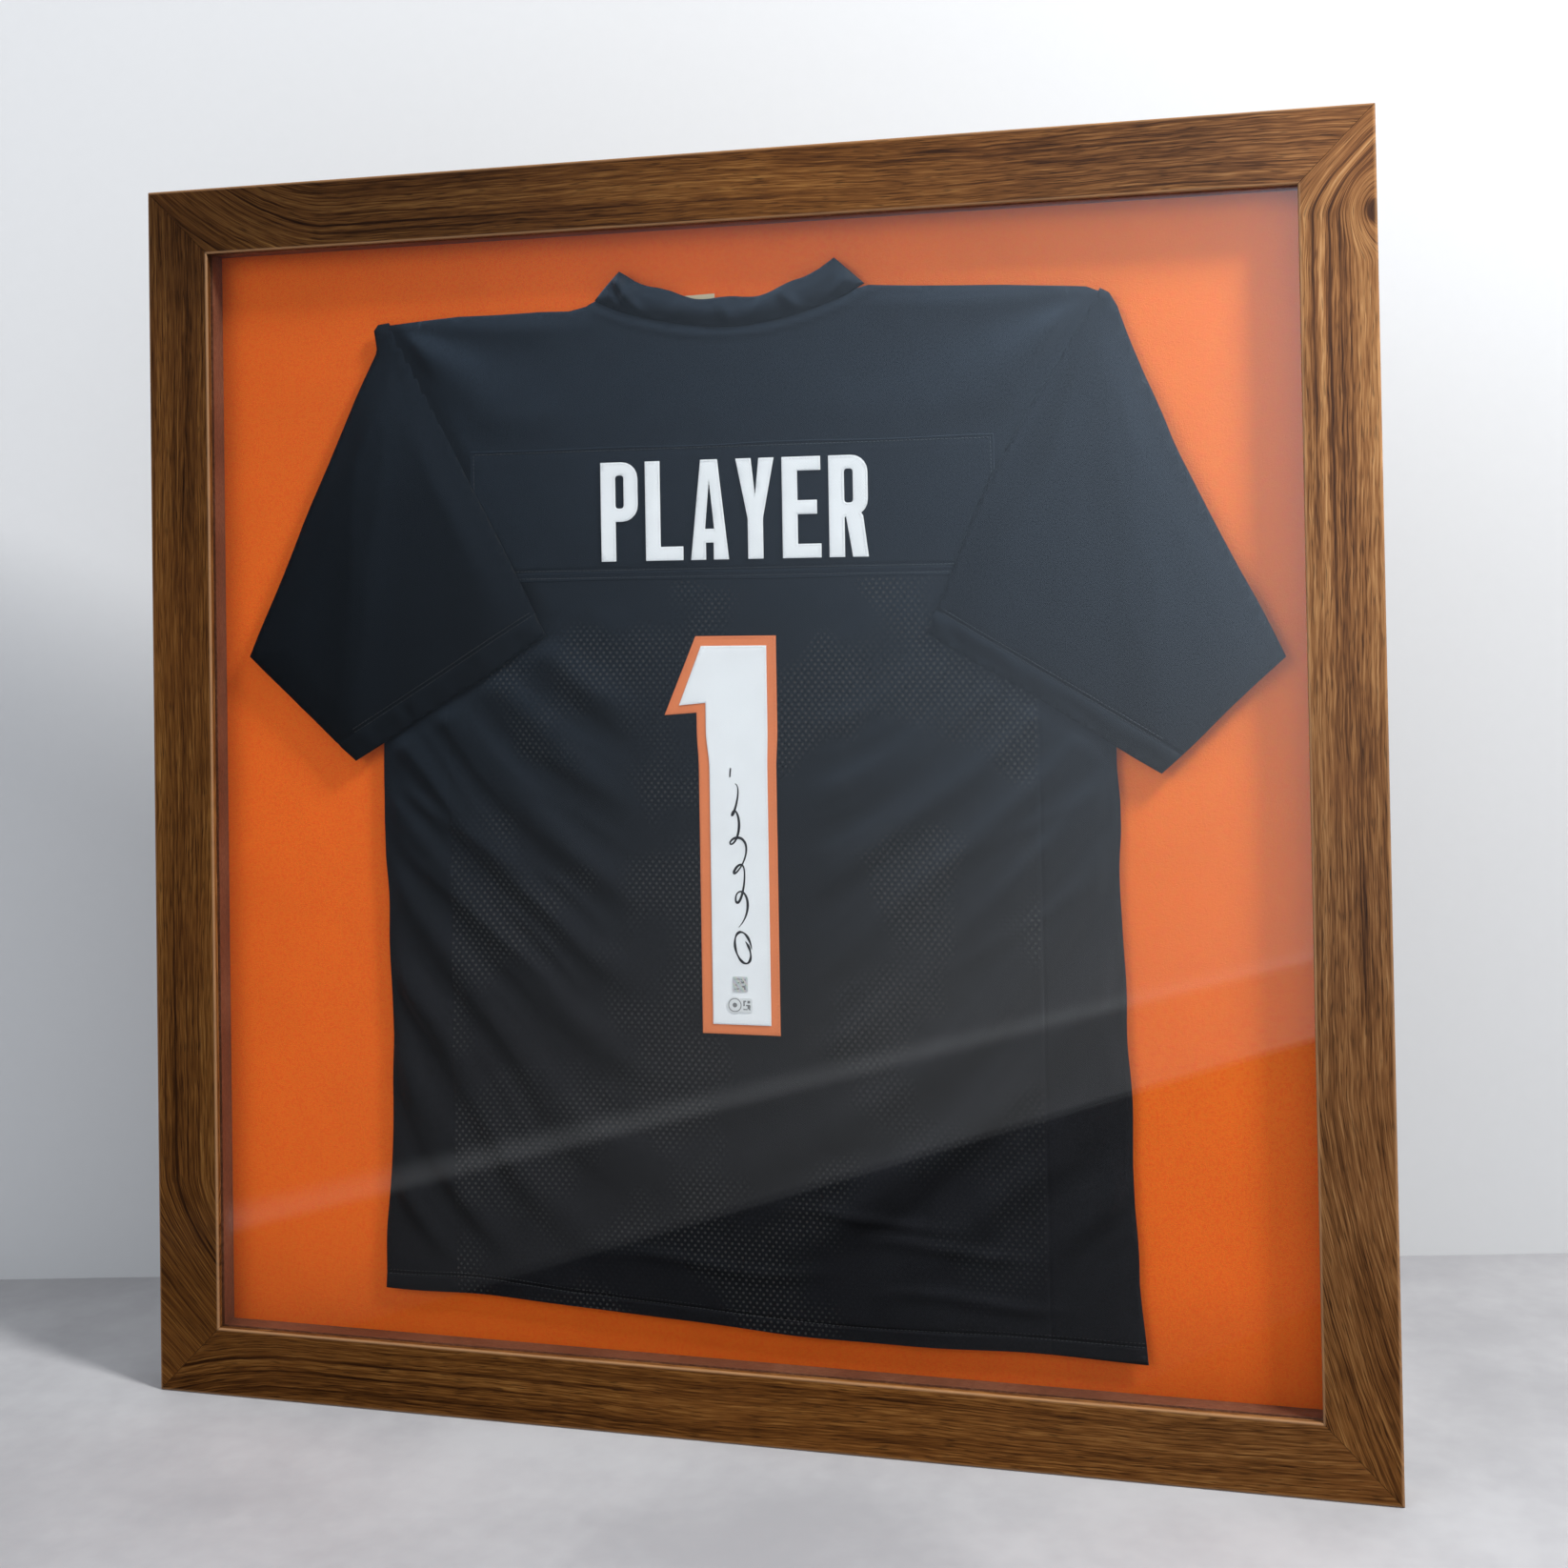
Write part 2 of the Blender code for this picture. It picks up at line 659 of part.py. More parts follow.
def digit_outline(inset):
    """A block numeral 1, drawn in on all sides by the inset."""
    top = DIGIT_BASE + DIGIT_HEIGHT
    left = DIGIT_STEM_LEFT + inset
    right = DIGIT_STEM_RIGHT - inset
    flag_z = top - DIGIT_FLAG_DROP + inset
    brow_x = DIGIT_STEM_LEFT + inset * DIGIT_BROW_SHIFT
    tip_x = DIGIT_FLAG_LEFT + inset * DIGIT_TIP_SHIFT
    return [
        (left, DIGIT_BASE + inset),
        (right, DIGIT_BASE + inset),
        (right, top - inset),
        (brow_x, top - inset),
        (tip_x, flag_z - DIGIT_FLAG_HOOK),
        (left, flag_z),
    ]


def add_number(materials):
    """The numeral as two twill layers, the larger one showing as a border."""
    add_slab("number_outline", digit_outline(0), PATCH_FRONT, PATCH_THICK, materials["orange_twill"])
    add_slab("number_face", digit_outline(DIGIT_BORDER), FACING_FRONT, FACING_THICK, materials["white_twill"])


def add_stickers(materials):
    """Two blank stickers low on the numeral."""
    middle = (DIGIT_STEM_LEFT + DIGIT_STEM_RIGHT) / 2
    depth = FACING_FRONT - GAP - STICKER_THICK
    disc = arc((middle, STICKER_BASE + STICKER_RADIUS), STICKER_RADIUS, 0, 360, 32)[:-1]
    add_slab("sticker_round", disc, depth, STICKER_THICK, materials["silver_sticker"])
    low = STICKER_BASE + 2 * STICKER_RADIUS + 0.004
    half = STICKER_SIDE / 2
    square = rounded(rectangle(middle - half, middle + half, low, low + STICKER_SIDE), 0.001)
    add_slab("sticker_square", square, depth, STICKER_THICK, materials["silver_sticker"])


def screw_mesh():
    """A slotted pan-head screw along Y. Its tip points at -Y and its head seats at y = 0."""
    tip = -SCREW_LENGTH
    head = SCREW_HEAD_RADIUS
    tall = SCREW_HEAD_HEIGHT
    profile = (
        (0, tip),
        (SCREW_RADIUS * 0.35, tip),
        (SCREW_RADIUS, tip + SCREW_RADIUS * 2.2),
        (SCREW_RADIUS, 0),
        (head, 0),
        (head, tall * 0.45),
        (head * 0.86, tall * 0.80),
        (head * 0.55, tall),
        (0, tall),
    )
    shape = lathed(profile, 24)
    bmesh.ops.recalc_face_normals(shape, faces=shape.faces)
    mesh = bpy.data.meshes.new("screw")
    shape.to_mesh(mesh)
    shape.free()
    body = bpy.data.objects.new("screw_body", mesh)
    bpy.context.scene.collection.objects.link(body)
    slot_outline = rectangle(-head * 2, head * 2, -SLOT_WIDTH / 2, SLOT_WIDTH / 2)
    slot = extruded(slot_outline, tall - SLOT_DEPTH, tall * 2)
    cutter = add_cutter("screw_slot", slot)
    cut = body.modifiers.new("slot", "BOOLEAN")
    cut.operation = "DIFFERENCE"
    cut.solver = "EXACT"
    cut.object = cutter
    graph = bpy.context.evaluated_depsgraph_get()
    finished = bpy.data.meshes.new_from_object(body.evaluated_get(graph))
    bpy.data.objects.remove(body)
    bpy.data.objects.remove(cutter)
    shade_round(finished)
    finished.name = "slotted_screw"
    return finished


def button_mesh():
    """A stamped turn button lying along +X from its pivot hole."""
    end = BUTTON_WIDTH / 2
    reach = BUTTON_LENGTH - 2 * end
    outline = arc((0, 0), end, 90, 270, 12) + arc((reach, 0), end * BUTTON_TAPER, -90, 90, 12)
    hole = arc((0, 0), BUTTON_HOLE_RADIUS, 0, 360, 24)[:-1]
    return pierced_mesh("turn_button", outline, [hole], BUTTON_THICK)


def add_turn_buttons(materials, screw):
    """Buttons that pivot on their screws and hold the back panel in."""
    button = button_mesh()
    plate_y = RAIL_BACK_Y + GAP + BUTTON_THICK / 2
    seat_y = RAIL_BACK_Y + GAP + BUTTON_THICK + GAP
    for i, (side, (x, z), turn) in enumerate(button_positions()):
        plate = add_mesh_object(f"turn_button_{side}", button, materials["zinc_steel"], (x, plate_y, z))
        plate.rotation_euler = (0, math.radians(turn), 0)
        pin = add_mesh_object(f"button_screw_{side}", screw, materials["zinc_steel"], (x, seat_y, z))
        pin.rotation_euler = (0, math.radians(23 + 37 * i), 0)


def strap_outline():
    """The strap's side section as (y, z) from the ring's axis: a flat tail that curls round the ring."""
    half = STRAP_THICK / 2
    tail_end = -STRAP_LENGTH + half
    path = arc((0, 0), CURL_RADIUS, 180, 180 - STRAP_CURL_DEG, 26)
    outer = [(-CURL_RADIUS - half, tail_end)]
    outer += [(y * (1 + half / CURL_RADIUS), z * (1 + half / CURL_RADIUS)) for y, z in path]
    inner = [(-CURL_RADIUS + half, tail_end)]
    inner += [(y * (1 - half / CURL_RADIUS), z * (1 - half / CURL_RADIUS)) for y, z in path]
    return outer + inner[::-1]


def strap_mesh():
    shape = bmesh.new()
    half = STRAP_WIDTH / 2
    section = strap_outline()
    near = [shape.verts.new((-half, y, z)) for y, z in section]
    far = [shape.verts.new((half, y, z)) for y, z in section]
    shape.faces.new(near)
    shape.faces.new(far[::-1])
    for i in range(len(section)):
        j = (i + 1) % len(section)
        shape.faces.new((near[i], far[i], far[j], near[j]))
    bmesh.ops.recalc_face_normals(shape, faces=shape.faces)
    mesh = bpy.data.meshes.new("hanger_strap")
    shape.to_mesh(mesh)
    shape.free()
    shade_round(mesh)
    return mesh


def ring_mesh():
    """A D-shaped ring. Its straight bar lies on the X axis and its bow stands up."""
    side = RING_HALF_WIDTH - RING_WIRE
    bow_radius = side
    bow_z = RING_LENGTH - RING_WIRE - bow_radius
    path = arc((side - RING_CORNER, RING_CORNER), RING_CORNER, -90, 0, ROUND_STEPS)
    path += arc((0, bow_z), bow_radius, 0, 180, 24)
    path += arc((RING_CORNER - side, RING_CORNER), RING_CORNER, 180, 270, ROUND_STEPS)
    shape = bmesh.new()
    loops = []
    for i, here in enumerate(path):
        ahead = Vector(path[(i + 1) % len(path)]) - Vector(path[i - 1])
        ahead.normalize()
        across = Vector((ahead.y, 0, -ahead.x))
        loop = []
        for a, b in arc((0, 0), RING_WIRE, 0, 360, 14)[:-1]:
            loop.append(shape.verts.new(Vector((here[0], 0, here[1])) + across * a + Vector((0, b, 0))))
        loops.append(loop)
    for one, two in zip(loops, loops[1:] + loops[:1]):
        for i in range(len(one)):
            j = (i + 1) % len(one)
            shape.faces.new((one[i], two[i], two[j], one[j]))
    bmesh.ops.recalc_face_normals(shape, faces=shape.faces)
    mesh = bpy.data.meshes.new("d_ring")
    shape.to_mesh(mesh)
    shape.free()
    shade_round(mesh, 60)
    return mesh


def add_hangers(materials, screw):
    """Two strap hangers. Each D-ring turns on the axis of its strap's curl."""
    strap = strap_mesh()
    ring = ring_mesh()
    screw_y = RAIL_BACK_Y + GAP + STRAP_THICK + GAP
    for side, x in ring_centres():
        axis = (x, RING_AXIS_Y, RING_HEIGHT)
        holes = bmesh.new()
        for drop in STRAP_SCREWS:
            piece = bpy.data.meshes.new("cut")
            hole = arc((x, RING_HEIGHT - drop), BUTTON_HOLE_RADIUS, 0, 360, 24)[:-1]
            cut = extruded(hole, RAIL_BACK_Y, RING_AXIS_Y)
            bmesh.ops.recalc_face_normals(cut, faces=cut.faces)
            cut.to_mesh(piece)
            cut.free()
            holes.from_mesh(piece)
            bpy.data.meshes.remove(piece)
        plate = add_mesh_object(f"hanger_strap_{side}", strap, materials["zinc_steel"], axis)
        cut = plate.modifiers.new("holes", "BOOLEAN")
        cut.operation = "DIFFERENCE"
        cut.solver = "EXACT"
        cut.object = add_cutter(f"strap_holes_{side}", holes)
        add_mesh_object(f"d_ring_{side}", ring, materials["zinc_steel"], axis)
        for i, drop in enumerate(STRAP_SCREWS):
            name = f"hanger_screw_{side}_{i + 1}"
            pin = add_mesh_object(name, screw, materials["zinc_steel"], (x, screw_y, RING_HEIGHT - drop))
            pin.rotation_euler = (0, math.radians(64 - 51 * i), 0)


def add_bumpers(materials):
    """Rubber feet that hold the lower corners off the wall."""
    edge = BUMPER_RADIUS * 0.14
    profile = (
        (0, 0),
        (BUMPER_RADIUS, 0),
        (BUMPER_RADIUS * 0.94, BUMPER_THICK - edge),
        (BUMPER_RADIUS * 0.80, BUMPER_THICK),
        (0, BUMPER_THICK),
    )
    for side, turn in (("left", -1), ("right", 1)):
        place = (turn * (HALF_WIDTH - BUMPER_INSET), RAIL_BACK_Y + GAP, BUMPER_HEIGHT)
        bumper = add_bmesh_object(f"wall_bumper_{side}", lathed(profile, 36), materials["rubber"], place)
        shade_round(bumper.data)


def build():
    clear_scene()
    materials = make_materials()
    add_rails(materials)
    add_corner_nails(materials)
    add_sheets(materials)
    add_spacers(materials)
    add_torso(materials)
    add_sleeves(materials)
    add_collar(materials)
    add_name(materials)
    add_number(materials)
    add_stickers(materials)
    screw = screw_mesh()
    add_turn_buttons(materials, screw)
    add_hangers(materials, screw)
    add_bumpers(materials)


build()
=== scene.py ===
"""Looks of the jersey display frame: the folded jersey, its stitching, suede, walnut, glass and stage.

Lengths are in metres. +X is the viewer's right, +Z is up, and the front of the frame faces -Y.
"""

import math

import bmesh
import bpy
import numpy as np
from mathutils import Matrix, Vector


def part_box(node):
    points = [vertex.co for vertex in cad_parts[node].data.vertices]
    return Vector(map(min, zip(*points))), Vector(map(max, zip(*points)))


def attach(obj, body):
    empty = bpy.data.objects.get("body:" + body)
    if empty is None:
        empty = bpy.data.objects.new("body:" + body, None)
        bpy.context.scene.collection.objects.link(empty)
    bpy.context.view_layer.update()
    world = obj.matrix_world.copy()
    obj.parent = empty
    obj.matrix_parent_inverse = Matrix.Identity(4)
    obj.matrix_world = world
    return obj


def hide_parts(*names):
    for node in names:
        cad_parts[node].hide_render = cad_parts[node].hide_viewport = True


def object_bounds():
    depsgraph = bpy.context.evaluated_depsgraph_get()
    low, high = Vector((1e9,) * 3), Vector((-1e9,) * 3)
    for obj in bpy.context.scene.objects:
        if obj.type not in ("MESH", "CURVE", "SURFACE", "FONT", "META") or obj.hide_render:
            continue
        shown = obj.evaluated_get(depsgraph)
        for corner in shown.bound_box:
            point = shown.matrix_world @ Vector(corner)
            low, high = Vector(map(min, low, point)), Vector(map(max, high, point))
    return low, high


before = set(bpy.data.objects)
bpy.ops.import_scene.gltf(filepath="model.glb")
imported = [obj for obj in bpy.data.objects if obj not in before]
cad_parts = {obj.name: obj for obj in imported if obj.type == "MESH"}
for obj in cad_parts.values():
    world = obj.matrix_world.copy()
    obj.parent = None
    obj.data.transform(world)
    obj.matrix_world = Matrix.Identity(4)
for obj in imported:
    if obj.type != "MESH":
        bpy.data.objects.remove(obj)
CAD_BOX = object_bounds()

TAU = math.tau
BODY = "frame"
WELD = 1e-6
TO_VIEWER = (0.0, -1.0, 0.0)

# Places taken from the frame
FACE_Y = CAD_BOX[0].y
HALF_WIDTH = CAD_BOX[1].x
TOP = CAD_BOX[1].z
RAIL_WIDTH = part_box("rail_bottom")[1].z
NUMBER_LOW, NUMBER_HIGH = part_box("number_outline")
PLATE_LOW, PLATE_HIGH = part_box("jersey_nameplate")
NUMBER_X = (NUMBER_LOW.x + NUMBER_HIGH.x) / 2
LETTERS = sorted(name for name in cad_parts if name.startswith("name_letter_"))

# Numeral: half the width of its stem, border included
STEM_HALF = 0.0333

# Swags: curved folds that hang from both armpits and pass below the numeral
SWAG_HALF = 0.29
SWAG_RISE = 0.200
SWAG_SPACING = 0.070
SWAG_HEIGHT = 0.0052
MOST_HEIGHT = 0.0066

# Knit: the way the painted light comes from, towards which its painted shading is brightest, and the line
# from shoulder to cuff where the left sleeve's painted shade lies on the body
BODY_LIGHT_WAY = (0.34, 0.0, 0.94)
SLEEVE_LIGHT_WAY = (0.80, 0.0, 0.60)
SLEEVE_SHADE = ((-0.2744, 0.8660), (-0.1517, 0.6340))

# Seams and stitches
CUFF_SEAM = 0.020
HEM_SEAM = 0.013
ROW_GAP = 0.0030
SIDE_SEAM_RIGHT = 0.249
SIDE_SEAM_LEFT = -0.240
PLATE_SEAM_RISE = 0.009
STITCH_LENGTH = 0.0024
STITCH_PITCH = 0.0032
STITCH_RADIUS = 0.00026

# Stickers: the round one sits left of its CAD disc, beside the square half
STICKER_SHIFT = 0.0046

# Camera and stage
CAMERA_AT = (0.4400, -1.4573, 0.6731)
CAMERA_RIGHT = (0.9710, 0.2385, -0.0167)
CAMERA_BACK = (0.2382, -0.9711, -0.0158)
LENS = 43.66
SHIFT_X = -0.0273
SHIFT_Y = -0.1476
WALL_GAP = 0.50
MIRROR_LEFT = (-0.683, -0.387)
MIRROR_RIGHT = (0.454, -2.010)
SKIRTING_DROP = 0.136


# ---------------------------------------------------------------- materials


def arithmetic(operation, swapped=False):
    """A method that joins a Value with another value, or with a plain number, in a math node."""

    def join(self, other):
        pair = (other, self) if swapped else (self, other)
        return self.nodes.math(operation, *pair)

    return join


class Value:
    """An output of a node. Sums written with it become math nodes."""

    def __init__(self, nodes, socket):
        self.nodes = nodes
        self.socket = socket

    def __abs__(self):
        return self.nodes.math("ABSOLUTE", self)

    __add__ = __radd__ = arithmetic("ADD")
    __sub__ = arithmetic("SUBTRACT")
    __rsub__ = arithmetic("SUBTRACT", swapped=True)
    __mul__ = __rmul__ = arithmetic("MULTIPLY")
    __pow__ = arithmetic("POWER")


class Nodes:
    """A node tree under construction, with a short call for each kind of node that the finishes use."""

    def __init__(self, owner, output):
        owner.use_nodes = True
        self.tree = owner.node_tree
        self.tree.nodes.clear()
        self.output = self.add(output)

    def add(self, kind, inputs=(), **settings):
        node = self.tree.nodes.new("ShaderNode" + kind)
        for name, value in settings.items():
            setattr(node, name, value)
        for socket, value in dict(inputs).items():
            if isinstance(value, Value):
                self.tree.links.new(value.socket, node.inputs[socket])
            else:
                node.inputs[socket].default_value = value
        return node

    def value(self, kind, output, inputs=(), **settings):
        """One output of a new node."""
        return Value(self, self.add(kind, inputs, **settings).outputs[output])

    def parts(self, vector):
        return [Value(self, socket) for socket in self.add("SeparateXYZ", {0: vector}).outputs]

    def math(self, operation, *values):
        return self.value("Math", 0, enumerate(values), operation=operation)

    def show(self, shader):
        """Puts the shader on the tree's output."""
        self.tree.links.new(shader.socket, self.output.inputs["Surface"])


class Finish(Nodes):
    """A material under construction. x, y and z are the place on the object, in the frame's own metres."""

    def __init__(self, name):
        self.material = bpy.data.materials.new(name)
        super().__init__(self.material, "OutputMaterial")
        self.place = self.value("TexCoord", "Object")
        self.x, self.y, self.z = self.parts(self.place)

    def vector(self, x, y, z):
        return self.value("CombineXYZ", 0, {0: x, 1: y, 2: z})

    def length(self, vector):
        return self.value("VectorMath", "Value", {0: vector}, operation="LENGTH")

    def dot(self, a, b):
        return self.value("VectorMath", "Value", {0: a, 1: b}, operation="DOT_PRODUCT")

    def wave(self, value, period):
        return self.math("SINE", value * (TAU / period))

    def noise(self, scale, detail=2.0, seed=0.0, vector=None, roughness=0.5):
        inputs = {"Vector": vector or self.place, "W": seed, "Scale": scale}
        inputs.update({"Detail": detail, "Roughness": roughness})
        return self.value("TexNoise", 0, inputs, noise_dimensions="4D")

    def span(self, value, low, high, to_low=0.0, to_high=1.0):
        """The value carried from low..high to to_low..to_high, easing at both ends."""
        inputs = {0: value, 1: low, 2: high, 3: to_low, 4: to_high}
        return self.value("MapRange", 0, inputs, interpolation_type="SMOOTHSTEP")

    def ramp(self, factor, *stops):
        node = self.add("ValToRGB", {0: factor})
        elements = node.color_ramp.elements
        elements.remove(elements[1])
        elements[0].position, colour = stops[0]
        elements[0].color = (*colour, 1)
        for place, colour in stops[1:]:
            elements.new(place).color = (*colour, 1)
        return Value(self, node.outputs[0])

    def mix(self, factor, a, b, blend="MIX"):
        inputs = {0: factor}
        for socket, colour in ((6, a), (7, b)):
            inputs[socket] = colour if isinstance(colour, Value) else (*colour, 1)
        return self.value("Mix", 2, inputs, data_type="RGBA", blend_type=blend)

    def shade(self, colour, brightness):
        """The colour made lighter or darker by a grey factor, where 1 leaves it alone."""
        grey = self.vector(brightness, brightness, brightness)
        return self.mix(1.0, colour, grey, "MULTIPLY")

    def nap(self, strength, way):
        """Painted shading from a fixed light: above 1 where the cloth leans this way, below 1 where it leans
        away, and painted dark on its edges, which turn from the viewer.
        """
        normal = self.value("NewGeometry", "Normal")
        lean = self.dot(normal, way) * strength + 1.0
        bright = self.math("MINIMUM", self.math("MAXIMUM", lean, 0.40), 1.50)
        return bright * self.span(self.dot(normal, TO_VIEWER), 0.45, 0.92, 0.30, 1.0)

    def bump(self, height, distance):
        return self.value("Bump", 0, {"Height": height, "Distance": distance})

    def surface(self, colour, roughness, normal, **more):
        inputs = {"Base Color": colour, "Roughness": roughness, "Normal": normal}
        for name, value in more.items():
            inputs[name.replace("_", " ")] = value
        return self.made_of(self.value("BsdfPrincipled", 0, inputs))

    def made_of(self, shader):
        """The material, with this shader all over it."""
        self.show(shader)
        return self.material


def walnut(name, along, across, seed, figure, accents, knot):
    """Straight-grained walnut whose growth lines sweep off to one edge near an end of the rail.

    along and across are (axis, sign, offset) for the distance along the rail and in from its outer edge.
    figure is (where the sweep starts, how sharply it bends, side, and the same two for the far end).
    accents are growth lines that stand out: (place, half width, tone). knot is its place along and across,
    off the rail where there is none.
    """
    f = Finish(name)
    axes = {"x": f.x, "z": f.z}
    u = axes[along[0]] * along[1] + along[2]
    v = axes[across[0]] * across[1] + across[2]
    w = f.y - FACE_Y
    start, bend, side, tail_start, tail_bend = figure
    spot = f.vector(u * 2.6, v * 9.0, w * 9.0)
    drift = f.noise(1.0, 1.0, seed, spot) * 0.022 - 0.011
    ripple = f.noise(1.0, 2.0, seed + 3, f.vector(u * 26, v * 34, w)) * 0.003 - 0.0015
    ahead = f.math("MAXIMUM", start - u, 0.0)
    beyond = f.math("MAXIMUM", u - tail_start, 0.0)
    sweep = ahead ** 1.5 * bend + beyond ** 1.5 * tail_bend
    from_knot = f.vector((u - knot[0]) * 0.6, 0.0, v - knot[1])
    knot_gap = f.length(from_knot)
    bulge = f.span(knot_gap, 0.024, 0.0, 0.0, -0.020)
    growth = v * side + sweep + bulge + ripple
    ring = growth + w * 0.7 + drift

    def streaks(stretch, tight, detail, offset):
        return f.noise(1.0, detail, seed + offset, f.vector(u * stretch, ring * tight, 0.0))

    broad = streaks(1.5, 42.0, 1.0, 5)
    bands = streaks(3.0, 210.0, 2.0, 7)
    fibre = streaks(18.0, 640.0, 3.0, 9)
    hair = streaks(45.0, 1000.0, 1.0, 10)
    pores = f.span(streaks(60.0, 760.0, 1.0, 11), 0.56, 0.70)
    contour = abs(streaks(1.3, 120.0, 1.0, 15) - 0.5)
    line = f.span(contour, 0.02, 0.0) * f.span(broad, 0.35, 0.6, 1.0, 0.25)
    tone = broad * 0.28 + bands * 0.22 + fibre * 0.44 + hair * 0.30 - line * 0.11
    fade = f.span(u, start + 0.42, start + 0.05)
    for place, half_width, shift in accents:
        gap = abs(growth - place)
        tone += f.span(gap, half_width, half_width * 0.2, 0.0, shift) * fade
    tone += f.span(knot_gap, 0.0075, 0.0020, 0.0, -0.20)
    colour = f.ramp(
        tone,
        (0.46, (0.024, 0.0085, 0.0026)),
        (0.56, (0.060, 0.0225, 0.0064)),
        (0.64, (0.104, 0.0420, 0.0125)),
        (0.73, (0.165, 0.0780, 0.0270)),
        (0.86, (0.250, 0.1350, 0.0560)),
    )
    colour = f.shade(colour, 1.0 - pores * 0.5)
    blush = f.span(f.noise(9.0, 1.0, seed + 13), 0.52, 0.72, 0.0, 0.22)
    colour = f.mix(blush, colour, (0.115, 0.042, 0.013))
    inner_edge = f.span(v, RAIL_WIDTH - 0.0024, RAIL_WIDTH - 0.0006)
    near_edge = f.math("MAXIMUM", f.span(v, 0.0030, 0.0004), inner_edge)
    # Painted light on the front: lighter towards the right, where the lamp stands, painted darker at the top
    # left and towards the bottom right, and lighter in the right rail's middle.
    painted_light = f.span(f.x, -0.45, 0.50, 0.80, 1.40)
    for z_span, x_span, change in (
        ((0.85, 1.00), (0.10, -0.30), -0.42),
        ((0.40, 0.80), (0.38, 0.47), 0.42),
        ((0.50, 0.05), (0.05, 0.45), -0.22),
    ):
        painted_light *= f.span(f.z, *z_span) * f.span(f.x, *x_span) * change + 1.0
    # The sides and back are painted 1.2 times lighter than the front, as less light reaches them.
    front = f.span(w, 0.0060, 0.0020)
    colour = f.shade(colour, front * painted_light + 1.2 * (1.0 - front))
    # Painted light tint on the front: warmer and yellower at the left, paler and bluer towards the right.
    rightward = f.span(f.x, 0.05, 0.45) * f.span(f.z, -0.12, 0.30)
    warm = f.mix(rightward, (0.97, 0.89, 0.58), (1.05, 1.10, 1.18))
    colour = f.mix(front, colour, f.mix(1.0, colour, warm, "MULTIPLY"))
    # Both eased edges of the front are lightened: wear on the outer edge, a painted highlight on the sight
    # edge.
    edge_wear_and_highlight = near_edge * f.span(w, 0.003, 0.0004)
    colour = f.mix(edge_wear_and_highlight * 0.55, colour, (0.34, 0.19, 0.095))
    roughness = bands * 0.16 + 0.4 + pores * 0.18
    normal = f.bump(fibre * 0.5 - pores, 0.00010)
    return f.surface(
        colour, roughness, normal,
        Coat_Weight=0.28, Coat_Roughness=0.18, Specular_IOR_Level=0.03,
    )


def spacer_wood():
    f = Finish("spacer_walnut")
    fine = f.noise(240.0, 3.0, 2.0, f.vector(f.x, f.y * 6.0, f.z))
    cloud = f.noise(14.0, 2.0, 4.0)
    colour = f.ramp(
        fine * 0.6 + cloud * 0.45 - 0.02,
        (0.30, (0.070, 0.024, 0.012)),
        (0.52, (0.150, 0.056, 0.030)),
        (0.75, (0.260, 0.120, 0.070)),
    )
    return f.surface(colour, fine * 0.2 + 0.42, f.bump(fine, 8e-05), Specular_IOR_Level=0.4)


def suede():
    """Brushed fabric: short nap with a fine speckle and soft patches where the nap lies differently."""
    f = Finish("orange_suede")
    speckle = f.noise(1300.0, 2.0, 1.0, roughness=0.7)
    fleck = f.noise(420.0, 3.0, 2.0, roughness=0.75)
    nap = f.noise(16.0, 3.0, 3.0)
    brightness = speckle * 0.70 + fleck * 0.60 + nap * 0.16 + 0.27
    # Painted shade: darker towards the top left and along the foot of the mount.
    corner = f.span(f.z, 0.55, 0.9) * f.span(f.x, 0.0, -0.38)
    painted_shade_low = f.span(f.z, 0.06, 0.16, 0.20, 0.0)
    brightness *= 1.0 - corner * 0.16 - painted_shade_low
    # Painted light: lighter and yellower towards the right and the middle.
    painted_right_light = f.span(f.x, -0.1, 0.42) * f.span(f.z, 0.1, 0.7)
    dull = f.mix(painted_right_light, (0.700, 0.092, 0.007), (0.760, 0.128, 0.009))
    bright = f.mix(painted_right_light, (0.800, 0.142, 0.010), (0.875, 0.210, 0.014))
    colour = f.shade(f.mix(f.span(fleck, 0.40, 0.66), bright, dull), brightness)
    normal = f.bump(speckle + fleck * 1.5, 0.00025)
    return f.surface(
        colour, 0.92, normal, Sheen_Weight=0.30, Sheen_Roughness=0.55,
        Sheen_Tint=(1.0, 0.45, 0.20, 1), Specular_IOR_Level=0.12,
    )


def perforations(f):
    """1 in the body's small holes, which lie in two interleaved grids and fade in and out in patches."""
    pitch_x, pitch_z = 0.0056, 0.0070
    found = []
    for shift in (0.0, 0.5):
        across = (f.math("FRACT", f.x * (1 / pitch_x) + (500 + shift)) - 0.5) * pitch_x
        up = (f.math("FRACT", f.z * (1 / pitch_z) + (500 + shift)) - 0.5) * pitch_z
        found.append(f.math("SQRT", across * across + up * up))
    holes = f.span(f.math("MINIMUM", *found), 0.0013, 0.0007)
    holes *= f.span(f.x, SIDE_SEAM_LEFT, SIDE_SEAM_LEFT + 0.002)
    holes *= f.span(f.x, SIDE_SEAM_RIGHT, SIDE_SEAM_RIGHT - 0.002)
    holes *= f.span(f.z, PLATE_LOW.z, PLATE_LOW.z - 0.0015)
    return holes * f.span(f.noise(11.0, 2.0, 7.0), 0.46, 0.62, 0.08, 1.0)


def sleeve_shade(f):
    """1 on the body along the left sleeve's inner edge."""
    (x, z), (end_x, end_z) = SLEEVE_SHADE
    side = Vector((z - end_z, end_x - x)).normalized()
    beside = (f.x - x) * side.x + (f.z - z) * side.y
    return f.span(abs(beside), 0.016, 0.002) * f.span(f.z, end_z - 0.004, end_z + 0.030)


